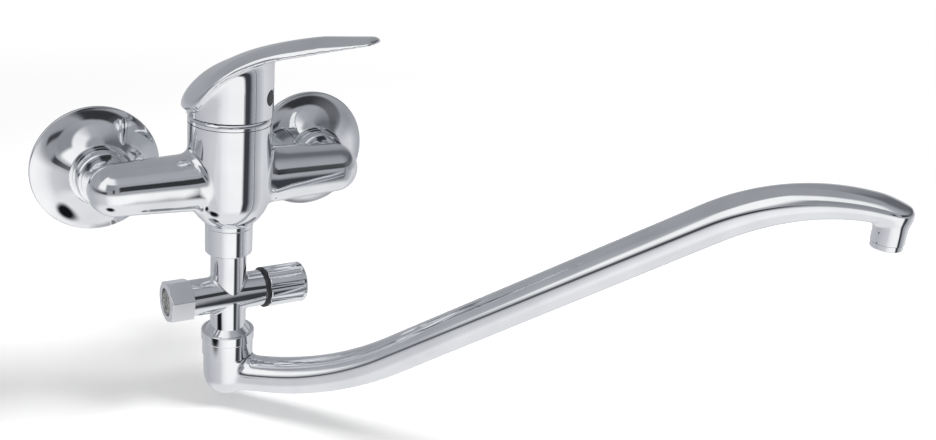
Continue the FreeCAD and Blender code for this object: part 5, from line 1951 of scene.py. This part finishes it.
        both = add_node(
            tree,
            "ShaderNodeMixShader",
            {
                0: path.outputs["Is Glossy Ray"],
                1: seen.outputs[0],
                2: self.mirrored_floor(tree, spot),
            },
        )
        add_node(tree, "ShaderNodeOutputMaterial", {"Surface": both.outputs[0]})
        return made

    def mirrored_floor(
        self, tree: bpy.types.NodeTree, spot: bpy.types.NodeSocket
    ) -> bpy.types.NodeSocket:
        """What mirrors see of the floor: nothing but a dark patch, a painted dark
        reflection.

        Args:
            tree: The floor's node tree.
            spot: The point on the floor.

        Returns:
            The shader socket.
        """
        distance = add_node(
            tree,
            "ShaderNodeVectorMath",
            {0: spot, 1: self.dark_reflection_patch},
            operation="DISTANCE",
        )
        outside = add_node(
            tree,
            "ShaderNodeMapRange",
            {
                "Value": distance.outputs["Value"],
                "From Min": self.dark_reflection_patch_fade[0],
                "From Max": self.dark_reflection_patch_fade[1],
            },
            interpolation_type="SMOOTHSTEP",
        )
        # The painted dark reflection: a dark emission that only mirrors see
        dark_reflection_patch = add_node(
            tree,
            "ShaderNodeEmission",
            {"Color": linear(self.dark_reflection_patch_colour), "Strength": 1.0},
        )
        clear = add_node(tree, "ShaderNodeBsdfTransparent")
        return add_node(
            tree,
            "ShaderNodeMixShader",
            {0: outside.outputs["Result"], 1: dark_reflection_patch.outputs[0], 2: clear.outputs[0]},
        ).outputs[0]

    def room(self) -> None:
        """White behind the tap, plain light on it, and the panels for mirrors."""
        world = bpy.data.worlds.new("plain_room")
        bpy.context.scene.world = world
        world.use_nodes = True
        tree = world.node_tree
        tree.nodes.clear()
        path = add_node(tree, "ShaderNodeLightPath")
        direction = add_node(tree, "ShaderNodeTexCoord").outputs["Generated"]
        mirrored, soft, white = (
            add_node(
                tree, "ShaderNodeBackground", {"Color": colour, "Strength": strength}
            ).outputs[0]
            for colour, strength in (
                (self.reflection(tree, direction), 1.0),
                (linear(WHITE), self.daylight),
                (linear(WHITE), 1.0),
            )
        )
        light = add_node(
            tree,
            "ShaderNodeMixShader",
            {0: path.outputs["Is Glossy Ray"], 1: soft, 2: mirrored},
        )
        seen = add_node(
            tree,
            "ShaderNodeMixShader",
            {0: path.outputs["Is Camera Ray"], 1: light.outputs[0], 2: white},
        )
        add_node(tree, "ShaderNodeOutputWorld", {"Surface": seen.outputs[0]})

    def bearing(
        self, tree: bpy.types.NodeTree, direction: bpy.types.NodeSocket
    ) -> bpy.types.NodeSocket:
        """Compass bearing of a direction round the tap, from 0 to 1.

        It is 0.5 towards the front left of the room and grows to the right.

        Args:
            tree: The world's node tree.
            direction: The direction looked in.

        Returns:
            The bearing.
        """
        x, y = self.front_left
        ahead, aside = (
            add_node(
                tree,
                "ShaderNodeVectorMath",
                {0: direction, 1: (*axis, 0.0)},
                operation="DOT_PRODUCT",
            ).outputs["Value"]
            for axis in ((x, y), (-y, x))
        )
        angle = add_node(
            tree, "ShaderNodeMath", {0: aside, 1: ahead}, operation="ARCTAN2"
        )
        return add_node(
            tree,
            "ShaderNodeMapRange",
            {"Value": angle.outputs[0], "From Min": -math.pi, "From Max": math.pi},
        ).outputs["Result"]

    def reflection(
        self, tree: bpy.types.NodeTree, direction: bpy.types.NodeSocket
    ) -> bpy.types.NodeSocket:
        """What mirrors see, painted reflections: the layers of panels, crossed by the
        dark band.

        Args:
            tree: The world's node tree.
            direction: The direction looked in.

        Returns:
            The colour.
        """
        turn = self.bearing(tree, direction)
        rise = add_node(tree, "ShaderNodeSeparateXYZ", {0: direction}).outputs["Z"]
        colour: bpy.types.NodeSocket | tuple[float, ...] = linear(self.below)
        for layer in self.layers:
            panels = add_node(tree, "ShaderNodeValToRGB", {"Fac": turn})
            set_stops(panels, layer.panels)
            shown = add_node(
                tree,
                "ShaderNodeMapRange",
                {"Value": rise, "From Min": layer.start, "From Max": layer.full},
                interpolation_type="SMOOTHSTEP",
            )
            colour = add_node(
                tree,
                "ShaderNodeMix",
                {0: shown.outputs["Result"], 6: colour, 7: panels.outputs["Color"]},
                data_type="RGBA",
            ).outputs[2]
        return add_node(
            tree,
            "ShaderNodeMix",
            {
                0: self.band_share(tree, turn, rise),
                6: colour,
                7: linear(self.band_colour),
            },
            data_type="RGBA",
        ).outputs[2]

    def band_share(
        self,
        tree: bpy.types.NodeTree,
        turn: bpy.types.NodeSocket,
        rise: bpy.types.NodeSocket,
    ) -> bpy.types.NodeSocket:
        """How much of the dark band mirrors see in a direction.

        Args:
            tree: The world's node tree.
            turn: Bearing of the direction.
            rise: Its upright part.

        Returns:
            The share, from 0 to 1.
        """
        depth = add_node(tree, "ShaderNodeValToRGB", {"Fac": turn})
        set_stops(depth, self.band_depths)
        middle, half = (
            add_node(
                tree,
                "ShaderNodeMapRange",
                {
                    "Value": turn,
                    "From Min": first[0],
                    "From Max": last[0],
                    "To Min": first[1],
                    "To Max": last[1],
                },
            ).outputs["Result"]
            for first, last in (self.band_middle, self.band_half)
        )
        offset = add_node(
            tree, "ShaderNodeMath", {0: rise, 1: middle}, operation="SUBTRACT"
        )
        away = add_node(
            tree, "ShaderNodeMath", {0: offset.outputs[0]}, operation="ABSOLUTE"
        )
        ratio = add_node(
            tree, "ShaderNodeMath", {0: away.outputs[0], 1: half}, operation="DIVIDE"
        )
        inside = add_node(
            tree,
            "ShaderNodeMapRange",
            {
                "Value": ratio.outputs[0],
                "From Min": self.band_fade[0],
                "From Max": self.band_fade[1],
            },
            interpolation_type="SMOOTHSTEP",
        )
        return add_node(
            tree,
            "ShaderNodeMath",
            {0: inside.outputs["Result"], 1: depth.outputs["Color"]},
            operation="MULTIPLY",
        ).outputs[0]


@dataclass(frozen=True)
class PhotoCamera:
    """The photograph's view, from the front left and above.

    Attributes:
        place: Where the camera stands, in metres.
        yaw: Turn to the right of straight at the wall, in degrees.
        pitch: Tilt above the level, in degrees.
        roll: Turn about the line of sight, in degrees.
        focal: Focal length in picture widths.
        sensor: Width of the sensor, in mm.
        nearest: Nearest distance that it sees, in metres.
    """

    place: tuple[float, float, float] = (-0.25633, -0.71936, 0.2563)
    yaw: float = 33.5396
    pitch: float = -21.0042
    roll: float = -5.3178
    focal: float = 1137.226 / 936
    sensor: float = 36.0
    nearest: float = 0.01

    def build(self) -> None:
        """Sets the camera up and makes it the scene's."""
        yaw, pitch, roll = (
            math.radians(value) for value in (self.yaw, self.pitch, self.roll)
        )
        ahead = Vector(
            (
                math.sin(yaw) * math.cos(pitch),
                math.cos(yaw) * math.cos(pitch),
                math.sin(pitch),
            )
        )
        level = Vector((math.cos(yaw), -math.sin(yaw), 0.0))
        down = ahead.cross(level)
        right = level * math.cos(roll) + down * math.sin(roll)
        below = down * math.cos(roll) - level * math.sin(roll)
        axes = Matrix((right, -below, -ahead)).transposed().to_4x4()
        deselect_all()
        bpy.ops.object.camera_add()
        camera = bpy.context.object
        camera.name = "photo_camera"
        camera.matrix_world = Matrix.Translation(self.place) @ axes
        camera.data.sensor_width = self.sensor
        camera.data.lens = self.sensor * self.focal
        camera.data.clip_start = self.nearest
        bpy.context.scene.camera = camera


def main() -> None:
    """Builds the tap's groups in order, then the studio and the camera."""
    logging.basicConfig(level=logging.INFO, format="%(message)s")
    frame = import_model()
    nodes = frame["nodes"]
    for group in (
        WallUnions(nodes),
        MixerBody(nodes),
        Cartridge(nodes),
        Lever(nodes),
        Diverter(nodes),
        Spout(nodes),
    ):
        group.build()
        LOG.info("%s: %d new parts", type(group).__name__, len(group.pieces))
    Studio().build()
    PhotoCamera().build()
    bpy.context.scene.view_settings.view_transform = "Standard"


if __name__ == "__main__":
    main()
